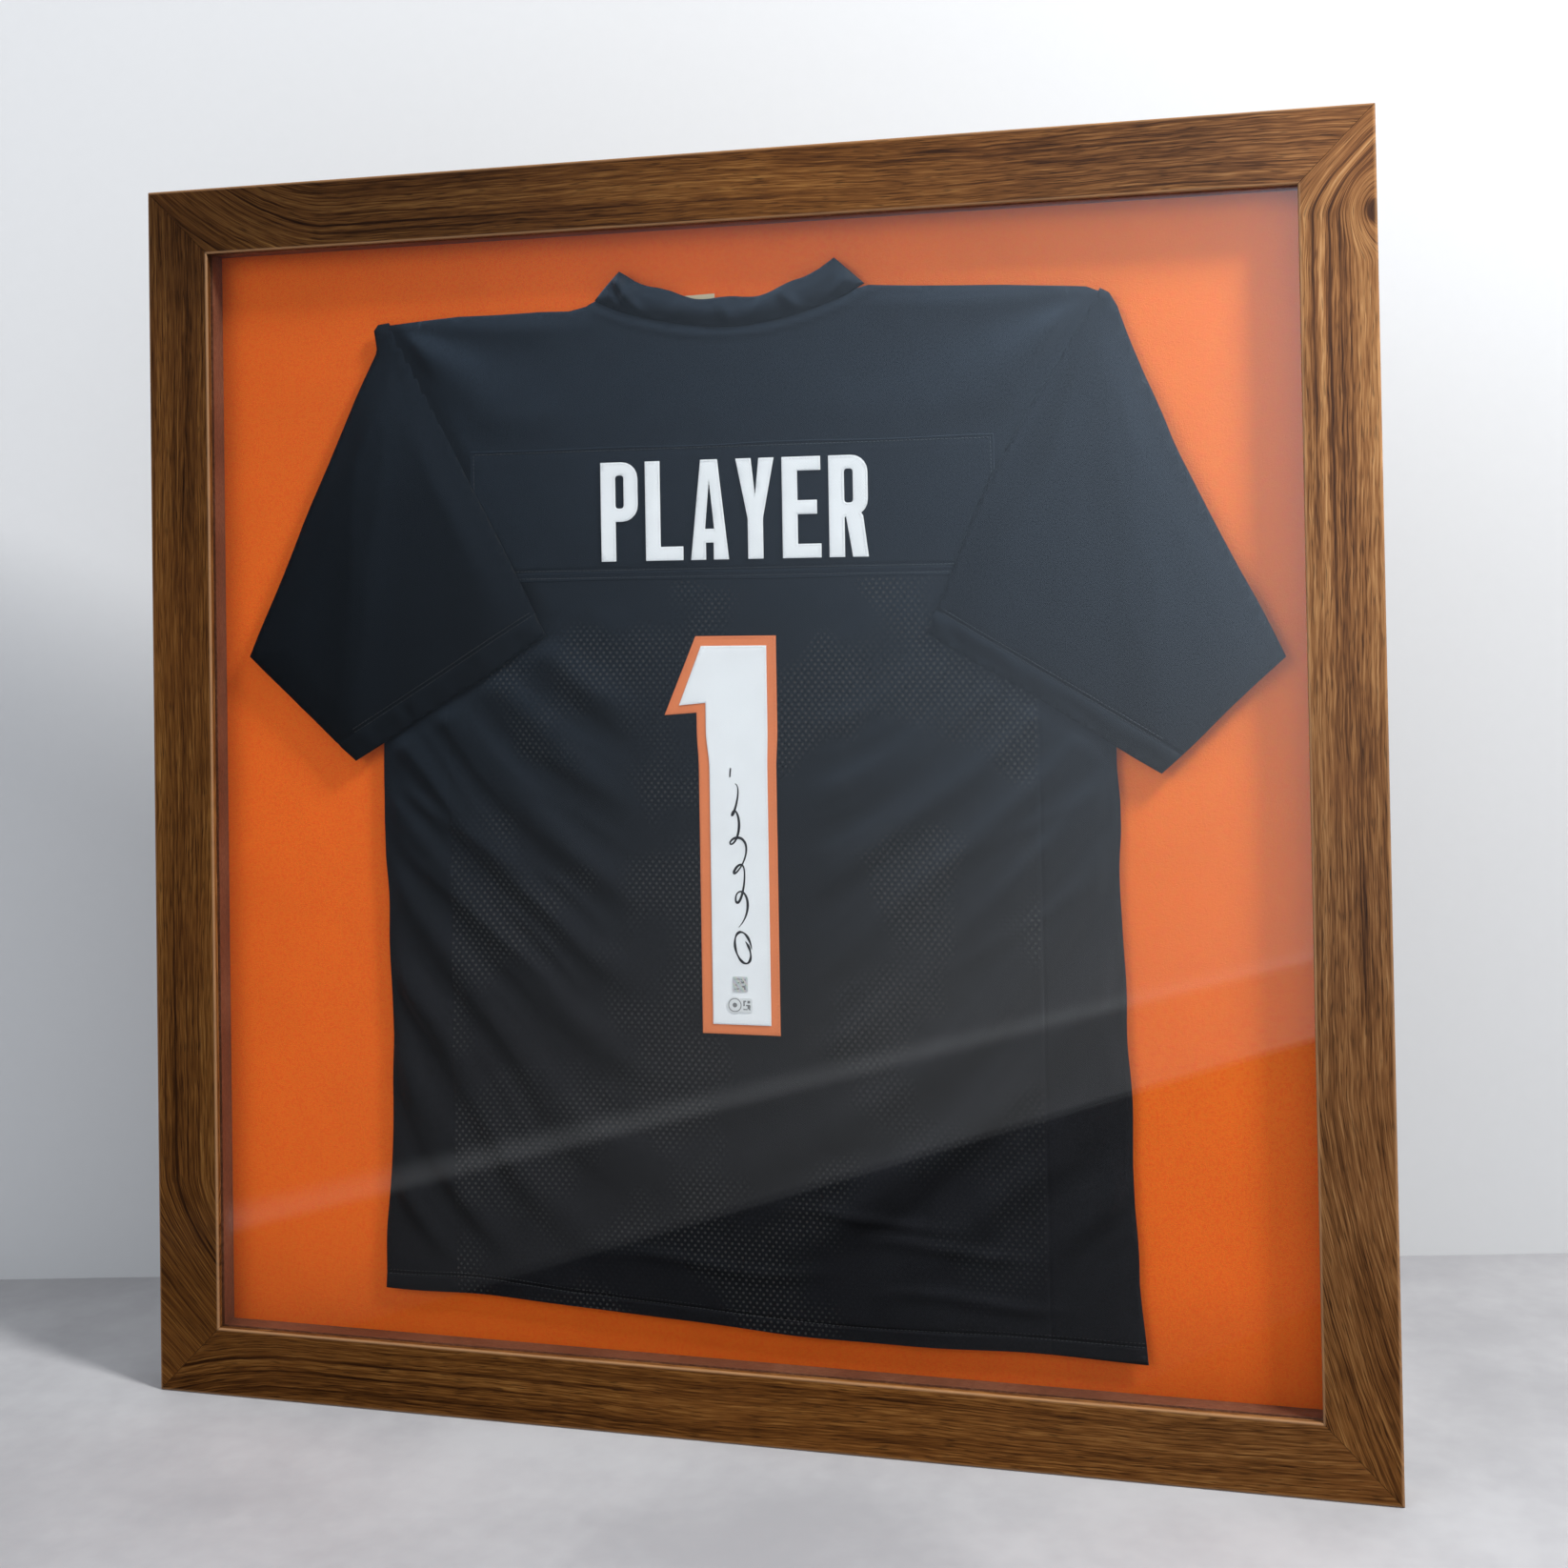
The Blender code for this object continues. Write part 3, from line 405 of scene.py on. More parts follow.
def jersey_knit(name, perforated, tone=1.0, way=BODY_LIGHT_WAY, nap=2.5):
    """Dark polyester knit, darker and less blue towards the hem.

    The body is perforated mesh below the nameplate and smooth above it. Light is painted on: lighter towards
    the top, darker towards the left, and shaded by the way the cloth turns. The sleeves have their own
    painted brightness, light way and shading strength.
    """
    f = Finish(name)
    grain = f.noise(760.0, 2.0, 1.0, roughness=0.8)
    cloud = f.noise(20.0, 2.0, 2.0)
    loops = f.wave(f.x + f.noise(60.0, 1.0, 5.0) * 0.0006, 0.0012) * f.wave(f.z, 0.0015)
    # Painted light: brighter towards the top and darker towards the left, scaled by tone, then painted
    # shading from the way the cloth turns.
    painted_light = f.span(f.z, 0.55, 0.90, 0.61 * tone, 1.20 * tone) * f.span(f.x, -0.42, -0.22, 0.75, 1.0)
    painted_light *= f.nap(nap, way)
    brightness = grain * 2.0 + cloud * 0.24 + loops * 0.10 - 0.14
    low = f.span(f.z, 0.56, 0.30)
    colour = f.mix(low, (0.0060, 0.0090, 0.0142), (0.0086, 0.0088, 0.0112))
    colour = f.shade(colour, brightness * painted_light)
    height = loops * 0.35 + grain
    if perforated:
        # Painted shade along the left sleeve's inner edge, and painted light in the lower corner right of the
        # middle, where fewer holes show.
        shaded = 1.0 - sleeve_shade(f) * 0.55
        painted_light *= shaded
        corner = f.span(f.x, 0.02, 0.20) * f.span(f.z, 0.42, 0.26)
        colour = f.shade(colour, shaded * (corner * 0.30 + 1.0))
        holes = perforations(f) * (1.0 - corner * 0.58)
        colour = f.mix(holes * 0.80, colour, (0.046, 0.044, 0.042))
        height -= holes * 1.6
    return f.surface(
        colour, grain * 0.18 + 0.44, f.bump(height, 0.00009),
        Sheen_Weight=(grain * 2.2 - 0.1) * painted_light * 0.52, Sheen_Roughness=0.42,
        Sheen_Tint=f.mix(low, (0.44, 0.69, 1.0), (0.66, 0.72, 0.86)), Specular_IOR_Level=0.08,
    )


def twill(name, base, shadow):
    """Tackle twill: fine diagonal ribs and a slight satin lustre."""
    f = Finish(name)
    diagonal = f.wave(f.x + f.z, 0.0011)
    grain = f.noise(1900.0, 2.0, 1.0, roughness=0.7)
    cloud = f.noise(35.0, 2.0, 2.0)
    weave = diagonal * 0.08 + 0.25 + grain * 0.55
    colour = f.mix(f.span(weave, 0.30, 0.72), shadow, base)
    colour = f.shade(colour, cloud * 0.12 + 0.94)
    return f.surface(
        colour, 0.62, f.bump(diagonal * 0.5 + grain, 0.00015),
        Sheen_Weight=0.18, Sheen_Roughness=0.4, Specular_IOR_Level=0.35,
    )


def thread(name, colour):
    f = Finish(name)
    twist = f.wave(f.x - f.z, 0.0005)
    colour = f.shade(colour, twist * 0.14 + 0.92)
    return f.surface(colour, 0.5, f.bump(twist, 0.00005), Sheen_Weight=0.2)


def clear_glass():
    """Glass as light through it and a mirror over it, which keeps the shadows behind it soft."""
    f = Finish("clear_glazing")
    facing = f.value("LayerWeight", "Facing", {"Blend": 0.5})
    share = facing ** 5.0 * 0.96 + 0.04
    smudge = f.span(f.noise(7.0, 3.0, 1.0), 0.45, 0.75, 0.0, 0.018)
    clear = f.value("BsdfTransparent", 0, {"Color": (0.985, 0.992, 0.988, 1)})
    mirror = f.value("BsdfAnisotropic", 0, {"Color": (1, 1, 1, 1), "Roughness": smudge})
    return f.made_of(f.value("MixShader", 0, {0: share, 1: clear, 2: mirror}))


def hardboard():
    """Tempered hardboard: brown pressed fibres in cloudy shades."""
    f = Finish("hardboard")
    fibre = f.noise(420.0, 4.0, 1.0, roughness=0.7)
    cloud = f.noise(9.0, 3.0, 2.0)
    colour = f.ramp(
        fibre * 0.7 + cloud * 0.3,
        (0.30, (0.085, 0.040, 0.018)),
        (0.52, (0.165, 0.085, 0.040)),
        (0.74, (0.270, 0.155, 0.080)),
    )
    return f.surface(colour, fibre * 0.25 + 0.50, f.bump(fibre, 0.0002), Specular_IOR_Level=0.3)


def board(name, face, dull):
    """Paper-faced board with a trace of fibre."""
    f = Finish(name)
    fibre = f.noise(650.0, 3.0, 1.0, roughness=0.7)
    colour = f.mix(f.span(fibre, 0.35, 0.65), dull, face)
    return f.surface(colour, 0.85, f.bump(fibre, 0.00012))


def zinc():
    """Zinc-plated steel: brushed, with cloudy passivation and duller spots."""
    f = Finish("zinc_steel")
    cloud = f.noise(160.0, 3.0, 1.0)
    brushed = f.noise(1.0, 3.0, 2.0, f.vector(f.x * 300, f.y * 300, f.z * 4000))
    colour = f.ramp(
        cloud,
        (0.30, (0.420, 0.410, 0.380)),
        (0.55, (0.620, 0.620, 0.610)),
        (0.75, (0.700, 0.690, 0.640)),
    )
    roughness = cloud * 0.2 + 0.2 + brushed * 0.12
    return f.surface(colour, roughness, f.bump(brushed, 0.00004), Metallic=1.0)


def rubber():
    f = Finish("rubber")
    grain = f.noise(1400.0, 3.0, 1.0)
    dust = f.span(f.noise(220.0, 3.0, 2.0), 0.50, 0.75)
    colour = f.mix(dust * 0.35, (0.018, 0.017, 0.017), (0.07, 0.066, 0.06))
    return f.surface(colour, grain * 0.2 + 0.62, f.bump(grain, 0.00012))


def middle_of(node):
    """The x and z of a node's centre."""
    low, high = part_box(node)
    return (low.x + high.x) / 2, (low.z + high.z) / 2


def foil_sticker():
    """Blank security foil: silver with bands of diffracted colour and darker cloudy cells."""
    f = Finish("silver_sticker")
    sweep = f.x * 190.0 + f.z * 130.0 + f.noise(120.0, 2.0, 1.0) * 1.6
    colour = f.ramp(
        f.math("FRACT", sweep),
        (0.00, (0.58, 0.62, 0.64)),
        (0.25, (0.52, 0.62, 0.60)),
        (0.50, (0.66, 0.64, 0.56)),
        (0.75, (0.60, 0.55, 0.64)),
        (1.00, (0.58, 0.62, 0.64)),
    )
    cells = f.span(f.noise(520.0, 2.0, 3.0, roughness=0.6), 0.50, 0.60)
    centre_x, centre_z = middle_of("sticker_square")
    from_middle = f.math("MAXIMUM", abs(f.x - centre_x), abs(f.z - centre_z))
    middle = f.span(from_middle, 0.0050, 0.0040)
    colour = f.mix(cells * middle * 0.80, colour, (0.050, 0.050, 0.055))
    return f.surface(colour, cells * 0.12 + 0.34, f.bump(cells, 0.00004), Metallic=0.25)


def paper_label():
    """A pale label that carries only a plain ring, a dot and a field of random squares."""
    f = Finish("pale_label")
    fibre = f.noise(1500.0, 2.0, 1.0)
    centre_x, centre_z = middle_of("sticker_round")
    x = f.x - (centre_x - STICKER_SHIFT)
    z = f.z - centre_z
    radius = f.length(f.vector(x, 0.0, z))
    ring = f.span(radius, 0.0046, 0.0049) * f.span(radius, 0.0056, 0.0053)
    dot = f.span(radius, 0.0021, 0.0017)
    cell = f.vector(f.math("FLOOR", f.x * 900.0), 0.0, f.math("FLOOR", f.z * 900.0))
    squares = f.math("GREATER_THAN", f.value("TexWhiteNoise", "Value", {"Vector": cell}), 0.5)
    squares *= f.span(x, 0.0068, 0.0070) * f.span(abs(x - 0.0098), 0.0031, 0.0029)
    squares *= f.span(abs(z), 0.0038, 0.0036)
    marks = f.math("MAXIMUM", ring, dot) + squares
    colour = f.mix(marks * 0.82, (0.66, 0.68, 0.70), (0.060, 0.060, 0.066))
    return f.surface(colour, fibre * 0.1 + 0.38, f.bump(fibre, 0.00004))


def marker_ink():
    f = Finish("marker_ink")
    dry = f.span(f.noise(2200.0, 2.0, 1.0), 0.55, 0.75)
    colour = f.mix(dry * 0.35, (0.01, 0.01, 0.014), (0.09, 0.09, 0.11))
    return f.surface(colour, 0.45, f.bump(dry, 0.00003))


def woven_tape():
    f = Finish("cream_tape")
    weave = f.wave(f.x, 0.0009) * f.wave(f.z, 0.0009)
    colour = f.shade((0.50, 0.43, 0.29), weave * 0.12 + 0.92)
    return f.surface(colour, 0.7, f.bump(weave, 0.0001), Sheen_Weight=0.2)


def rail_finish(name):
    """The walnut of one rail, whose grain runs along it, so that the mitres show."""
    right = ("x", -1.0, HALF_WIDTH)
    left = ("x", 1.0, HALF_WIDTH)
    down = ("z", -1.0, TOP)
    up = ("z", 1.0, 0.0)
    dark, faint, light = -0.17, -0.10, 0.13
    none = (-1.0, 0.0)
    plain_tail = (2.0, 0.0)
    choices = {
        "rail_top": (left, down, 11.0, (0.165, 1.35, 1.0, *plain_tail), (
            (0.0390, 0.0016, dark), (0.0455, 0.0013, faint), (0.0300, 0.0013, faint), (0.0220, 0.0011, faint),
        ), none),
        "rail_right": (down, right, 23.0, (0.080, 3.20, 1.0, 0.72, 0.46), (
            (0.0405, 0.0042, light), (0.0462, 0.0013, dark), (0.0345, 0.0014, dark), (0.0270, 0.0012, faint),
            (0.0200, 0.0011, faint),
        ), (0.078, 0.004)),
        "rail_left": (up, left, 37.0, (0.180, 2.00, -1.0, *plain_tail), (
            (-0.0180, 0.0016, dark), (-0.0080, 0.0013, faint), (-0.0290, 0.0013, faint),
            (-0.0400, 0.0012, faint),
        ), none),
        "rail_bottom": (left, up, 53.0, (0.110, 0.50, 1.0, *plain_tail), (
            (0.0360, 0.0018, dark), (0.0250, 0.0014, faint), (0.0120, 0.0012, faint),
        ), none),
    }
    along, across, seed, figure, accents, knot = choices[name]
    return walnut("walnut_" + name, along, across, seed, figure, accents, knot)


# ---------------------------------------------------------------- shape helpers


def smooth(value, low, high):
    """0 below low and 1 above high, easing between them; falls instead where low is above high."""
    t = np.clip((value - low) / (high - low), 0.0, 1.0)
    return t * t * (3 - 2 * t)


def window(value, rise, fall):
    """Eases from 0 to 1 over rise, and back to 0 over fall."""
    return smooth(value, *rise) * (1 - smooth(value, *fall))


def bell(value, width):
    """1 at 0, falling off on both sides within about this width."""
    return np.exp(-((value / width) ** 2))


def ripple(x, z, size, seed, waves=14):
    """Smooth noise of about this feature size, near -1 to 1, from plane waves."""
    random = np.random.default_rng(seed)
    total = np.zeros_like(x, dtype=float)
    for _ in range(waves):
        angle, phase = random.uniform(0, TAU, 2)
        length = size * random.uniform(0.7, 1.8)
        total += np.cos(TAU * (x * math.cos(angle) + z * math.sin(angle)) / length + phase)
    return np.clip(total / math.sqrt(waves) / 1.3, -1.0, 1.0)


def front_of(node):
    """A bmesh of the face that a CAD slab turns to the viewer."""
    bm = bmesh.new()
    bm.from_mesh(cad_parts[node].data)
    bmesh.ops.remove_doubles(bm, verts=bm.verts, dist=WELD)
    bm.normal_update()
    hidden = [face for face in bm.faces if face.normal.y > -0.9]
    bmesh.ops.delete(bm, geom=hidden, context="FACES")
    return bm


def loops_of(node):
    """The edge loops of that face as arrays of (x, z), each with the material on its left."""
    bm = front_of(node)
    follow = {}
    for edge in bm.edges:
        if len(edge.link_faces) == 1:
            corner = edge.link_loops[0]
            follow[corner.vert] = corner.link_loop_next.vert
    loops = []
    while follow:
        here = next(iter(follow))
        points = []
        while here in follow:
            points.append((here.co.x, here.co.z))
            here = follow.pop(here)
        loops.append(np.array(points))
    bm.free()
    return loops


def inside_distance(x, z, loops):
    """How far each point is inside the loops; negative outside them."""
    nearest = np.full(len(x), np.inf)
    inside = np.zeros(len(x), bool)
    for loop in loops:
        for (ax, az), (bx, bz) in zip(loop, np.roll(loop, -1, axis=0)):
            length = (bx - ax) ** 2 + (bz - az) ** 2
            t = np.clip(((x - ax) * (bx - ax) + (z - az) * (bz - az)) / length, 0, 1)
            nearest = np.minimum(nearest, np.hypot(x - ax - t * (bx - ax), z - az - t * (bz - az)))
            if az != bz:
                crosses = (az > z) != (bz > z)
                inside ^= crosses & (x < ax + (z - az) * (bx - ax) / (bz - az))
    return np.where(inside, nearest, -nearest)


def cut_sheet(node, cell, rim, refine=0, cuts=()):
    """The slab's front face cut into cells, with rows of points close to its edge: (x, z, faces)."""
    bm = front_of(node)
    bmesh.ops.dissolve_limit(bm, angle_limit=0.02, verts=bm.verts, edges=bm.edges)
    band = []
    for share in (0.3, 0.7):
        inner = [face for face in bm.faces if face not in band]
        inset = bmesh.ops.inset_region(bm, faces=inner, thickness=rim * share, use_even_offset=True)
        band = set(inset["faces"])

    def cut_at(planes):
        for place, normal in planes:
            everything = bm.verts[:] + bm.edges[:] + bm.faces[:]
            bmesh.ops.bisect_plane(bm, geom=everything, plane_co=place, plane_no=normal)

    for axis, normal in ((0, Vector((1, 0, 0))), (2, Vector((0, 0, 1)))):
        levels = [vert.co[axis] for vert in bm.verts]
        steps = range(math.ceil(min(levels) / cell), math.ceil(max(levels) / cell))
        cut_at([(normal * (step * cell), normal) for step in steps])
    for _ in range(refine):
        bmesh.ops.subdivide_edges(bm, edges=bm.edges[:], cuts=1, use_grid_fill=True)
    cut_at(cuts)
    bm.verts.index_update()
    points = np.array([(vert.co.x, vert.co.z) for vert in bm.verts])
    faces = [[vert.index for vert in face.verts] for face in bm.faces]
    bm.free()
    return points[:, 0], points[:, 1], faces


def new_mesh(name, points, faces):
    mesh = bpy.data.meshes.new(name)
    mesh.from_pydata(points.tolist(), [], faces)
    mesh.shade_smooth()
    return mesh


def closed_mesh(name, x, z, front_y, back_y, faces):
    """A mesh with a front and a back skin over the same plan, joined round the edge."""
    count = len(x)
    points = np.concatenate([np.column_stack([x, y, z]) for y in (front_y, back_y)])
    edges = {pair: True for face in faces for pair in zip(face, face[1:] + face[:1])}
    sides = [[b, a, a + count, b + count] for a, b in edges if (b, a) not in edges]
    rear = [[i + count for i in reversed(face)] for face in faces]
    mesh = new_mesh(name, points, faces + rear + sides)
    mesh.validate()
    mesh.set_sharp_from_angle(angle=math.radians(50))
    return mesh


def add_piece(mesh, look, *nodes):
    material, slot = LOOKS[look]
    mesh.materials.append(material)
    piece = bpy.data.objects.new(mesh.name, mesh)
    bpy.context.scene.collection.objects.link(piece)
    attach(piece, BODY)
    if nodes:
        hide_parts(*nodes)


def edge_round(distance, radius):
    """How far a rounded edge falls back, at this distance in from the edge."""
    short = np.clip(radius - distance, 0, radius)
    return radius - np.sqrt(np.maximum(radius ** 2 - short ** 2, 0))


def no_warp(x, z):
    return 0.0, 0.0


def drape(node, name, look, depth_of, cell, thickness, rim, refine=0, cuts=(), wander=0.0, warp=no_warp):
    """Replaces a CAD slab with a closed sheet whose front lies where depth_of(x, z, inside) says."""
    x, z, faces = cut_sheet(node, cell, rim, refine, cuts)
    inside = np.maximum(inside_distance(x, z, loops_of(node)), 0.0)
    front = depth_of(x, z, inside)
    near_edge = wander * (1 - smooth(inside, 0.0, 0.030))
    pull_x, pull_z = warp(x, z)
    shifted_x = x + (near_edge * ripple(x, z, 0.075, 61) + pull_x)
    shifted_z = z + (near_edge * ripple(x, z, 0.090, 62) + pull_z)
    mesh = closed_mesh(name, shifted_x, shifted_z, front + edge_round(inside, rim), front + thickness, faces)
    add_piece(mesh, look, node)


# ---------------------------------------------------------------- the jersey's surface

TORSO = loops_of("jersey_back_panel")
SLEEVES = {side: loops_of(f"jersey_sleeve_{side}") for side in ("left", "right")}
COLLAR = loops_of("jersey_collar")
LOWEST = TORSO[0][np.argsort(TORSO[0][:, 1])[:3]]
HEM = LOWEST[np.argsort(LOWEST[:, 0])]


def level_of(node):
    """Where a CAD slab's front lies."""
    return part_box(node)[0].y


TORSO_Y = level_of("jersey_back_panel")


def box_gap(x, z, low, high):
    """How far each point is outside a box's outline; 0 inside it."""
    across = np.maximum(np.maximum(low.x - x, x - high.x), 0)
    up = np.maximum(np.maximum(low.z - z, z - high.z), 0)
    return np.hypot(across, up)


def line_gap(x, z, a, b):
    """Signed distance from the line through a and b, positive on its left."""
    along = np.array(b) - np.array(a)
    along = along / np.hypot(*along)
    return (z - a[1]) * along[0] - (x - a[0]) * along[1]


def groove(distance, width=0.0012, depth=0.00035):
    return -depth * bell(distance, width)


def swags(x, z):
    """Long folds that fall from both armpits and meet below the numeral."""
    side = np.abs(x - NUMBER_X) / SWAG_HALF
    phase = (z - SWAG_RISE * side ** 2.0) / SWAG_SPACING + 0.42 * ripple(x, z, 0.40, 3)
    crest = (0.5 + 0.5 * np.cos(TAU * phase)) ** 1.5
    minor = (0.5 + 0.5 * np.cos(TAU * (phase * 2.2 + 0.35 * ripple(x, z, 0.15, 4)))) ** 2
    minor *= 0.5 + 0.5 * ripple(x, z, 0.13, 8)
    patchy = 0.60 + 0.40 * ripple(x, z, 0.19, 5)
    outward = smooth(side, 0.12, 0.42)
    under = 0.50 * (1 - smooth(z, 0.25, 0.33))
    reach = window(z, (0.100, 0.20), (0.56, 0.68))
    return SWAG_HEIGHT * (crest * patchy + 0.22 * minor) * np.maximum(outward, under) * reach


def shoulder_folds(x, z):
    """Soft folds that fan out over the yoke from the two shoulder corners."""
    total = np.zeros_like(x)
    for loop, in SLEEVES.values():
        corner = loop[np.argmax(loop[:, 1])]
        distance = np.hypot(x - corner[0], z - corner[1])
        angle = np.arctan2(z - corner[1], np.abs(x) - np.abs(corner[0]))
        fan = 0.5 + 0.5 * np.cos(np.abs(angle) * 8.0 - 1.0)
        total += 0.0034 * fan * window(distance, (0.005, 0.05), (0.06, 0.26))
    return total


def hem_wrinkles(x, z):
    total = np.zeros_like(x)
    wrinkles = (0.176, 0.02, 0.20), (0.157, 0.08, 0.26), (0.134, -0.12, 0.10), (0.120, 0.10, 0.28)
    for height, left, right in wrinkles:
        bend = height + 0.004 * np.sin((x - left) * 34)
        total += 0.0011 * window(x, (left, left + 0.06), (right - 0.06, right)) * bell(z - bend, 0.0045)
    return total


def armpit_creases(x, z):
    """Short sharp folds that run in and down from below each sleeve."""
    total = np.zeros_like(x)
    for corner_x, corner_z, slope in (
        (-0.300, 0.520, 0.75), (-0.295, 0.470, 0.95), (0.305, 0.520, 0.62), (0.300, 0.455, 0.80),
    ):
        run = (x - corner_x) * np.sign(-corner_x)
        middle = corner_z - slope * run + 1.1 * run ** 2
        total += 0.0016 * window(run, (0.0, 0.03), (0.06, 0.17)) * bell(z - middle, 0.0075)
    return total


def torso_height(x, z):
    """How far the jersey's back stands proud of its CAD sheet, towards the viewer."""
    height = swags(x, z) + shoulder_folds(x, z) + hem_wrinkles(x, z) + armpit_creases(x, z)
    height += 0.00045 + 0.00045 * ripple(x, z, 0.14, 21) + 0.00016 * ripple(x, z, 0.045, 22)
    height *= 0.18 + 0.82 * smooth(box_gap(x, z, NUMBER_LOW, NUMBER_HIGH), 0.004, 0.050)
    height *= 0.45 + 0.55 * smooth(box_gap(x, z, PLATE_LOW, PLATE_HIGH), 0.0, 0.030)
    height *= smooth(inside_distance(x, z, TORSO), -0.001, 0.018)
    for loops in SLEEVES.values():
        height *= 0.12 + 0.88 * (1 - smooth(inside_distance(x, z, loops), -0.016, -0.001))
    return np.clip(height, 0.0, MOST_HEIGHT)


def torso_seams(x, z):
    """Grooves at the body's own seams: the hem's stitch line, the two side seams and the collar's."""
    left = line_gap(x, z, HEM[0], HEM[1])
    right = line_gap(x, z, HEM[1], HEM[2])
    total = groove(np.where(x < HEM[1][0], left, right) - HEM_SEAM)
    below = 1 - smooth(z, PLATE_LOW.z - 0.012, PLATE_LOW.z)
    for seam in (SIDE_SEAM_LEFT, SIDE_SEAM_RIGHT):
        total += groove(x - seam, depth=0.00030) * below
    collar = -inside_distance(x, z, COLLAR)
    beside_collar = groove(collar - 0.0015, 0.0020, 0.0006) - groove(collar - 0.0060, 0.0026, 0.0007)
    return total + np.where(np.abs(x) < 0.13, beside_collar, 0.0)


def follow(node):
    """A depth function that keeps a sheet as far in front of the folds as its CAD slab is from the torso."""
    level = level_of(node)
    return lambda x, z, inside: level - torso_height(x, z)


def lying_flat(level, depth, size, seed):
    """A depth function for a sheet that only undulates a little."""
    return lambda x, z, inside: level + depth * ripple(x, z, size, seed)


# ---------------------------------------------------------------- pieces


def seam_cuts(place, normal):
    """Extra cuts beside a seam line, so that its groove has points to bend at."""
    direction = Vector(normal).normalized()
    offsets = (-0.0018, -0.0007, 0.0007, 0.0018)
    return [(Vector(place) + direction * offset, direction) for offset in offsets]


def hem_cuts():
    cuts = []
    for a, b in zip(HEM, HEM[1:]):
        normal = Vector((a[1] - b[1], 0, b[0] - a[0])).normalized()
        cuts += seam_cuts(Vector((a[0], 0, a[1])) + normal * HEM_SEAM, normal)
    return cuts


def hem_sag(x, z):
    """The hem hangs a little high at the left and low at the middle and right."""
    sag = 0.0044 * bell(x + 0.220, 0.060) - 0.0048 * bell(x - 0.080, 0.105)
    return 0.0, sag * smooth(z, 0.170, 0.105)


def make_torso():
    cuts = hem_cuts()
    for seam in (SIDE_SEAM_LEFT, SIDE_SEAM_RIGHT):
        cuts += seam_cuts((seam, 0, 0), (1, 0, 0))

    def depth(x, z, inside):
        return TORSO_Y - torso_height(x, z) - torso_seams(x, z)

    drape(
        "jersey_back_panel", "jersey_back", "mesh", depth, cell=0.0070, thickness=0.0011, rim=0.0009,
        refine=1, cuts=cuts, wander=0.0010, warp=hem_sag,
    )
    rear = lying_flat(level_of("jersey_front_panel"), 0.0002, 0.10, 31)
    drape(
        "jersey_front_panel", "jersey_front", "knit", rear, cell=0.0200, thickness=0.0009, rim=0.0006,
        wander=0.0008, warp=hem_sag,
    )


def cuff_line(side):
    """The cuff's edge as (lower corner, inner corner)."""
    loop = SLEEVES[side][0]
    return loop[np.argmin(loop[:, 1])], loop[np.argmin(np.abs(loop[:, 0]))]


def sleeve_depth(side):
    """The sleeve's front: sewn down along the shoulder seam, then a loose flap that is crowned a little."""
    level = level_of(f"jersey_sleeve_{side}")
    loop = SLEEVES[side][0]
    shoulder = loop[np.argmax(loop[:, 1])]
    lower, inner = cuff_line(side)
    seam_length = np.hypot(*(inner - shoulder))
    sign, seed, strength = (-1.0, 41, 0.0005) if side == "left" else (1.0, 43, 0.0013)

    def depth(x, z, inside):
        distance = np.hypot(x - shoulder[0], z - shoulder[1])
        from_seam = np.abs(line_gap(x, z, shoulder, inner))
        sewn = (1 - smooth(from_seam, 0.0, 0.030)) * (1 - smooth(distance / seam_length, 0.45, 0.88))
        tip = 1 - smooth(distance, 0.015, 0.150)
        sunk = (TORSO_Y - 0.0002 - level) * np.maximum(sewn, tip)
        crown = 0.0013 * smooth(inside, 0.0, 0.030)
        outward = (x - shoulder[0]) * sign
        reach = window(distance, (0.02, 0.09), (0.27, 0.42))
        ridge = 0.0022 * bell(outward - 0.004 - 0.10 * distance, 0.020) * reach
        second = 0.0014 * bell(outward + 0.058 + 0.10 * distance, 0.022) * reach
        soft = 0.00045 * ripple(x, z, 0.11, seed) * smooth(inside, 0, 0.02)
        cuff = np.abs(line_gap(x, z, lower, inner))
        puckers = strength * np.sin(TAU * (x * 0.85 + z * 0.53) / 0.024 + 2.4 * ripple(x, z, 0.05, 45))
        puckers = puckers * bell(cuff - 0.010, 0.008) * (0.6 + 0.4 * ripple(x, z, 0.09, 46))
        swell = strength * 0.9 * bell(cuff - 0.0135, 0.0055)
        seam = groove(cuff - CUFF_SEAM, 0.0016, 0.0006)
        rest = crown * (1 - 0.7 * sewn) + ridge + second + soft + puckers + swell + seam
        return level + sunk - np.minimum(rest, 0.0033)

    return depth


def cuff_frame(side):
    """The cuff's lower and inner corners, the way along it and the way up from it, as arrays of (x, z)."""
    lower, inner = cuff_line(side)
    along = (inner - lower) / np.hypot(*(inner - lower))
    up = np.array([-along[1], along[0]])
    return lower, inner, along, up if up[1] > 0 else -up


def make_sleeves():
    for side in SLEEVES:
        lower, inner, along, up = cuff_frame(side)
        start = lower + up * CUFF_SEAM
        drape(
            f"jersey_sleeve_{side}", f"sleeve_{side}", f"sleeve_{side}", sleeve_depth(side),
            cell=0.0070, thickness=0.0018, rim=0.0011, refine=1, wander=0.0008,
            cuts=seam_cuts((start[0], 0, start[1]), (up[0], 0, up[1])),
        )


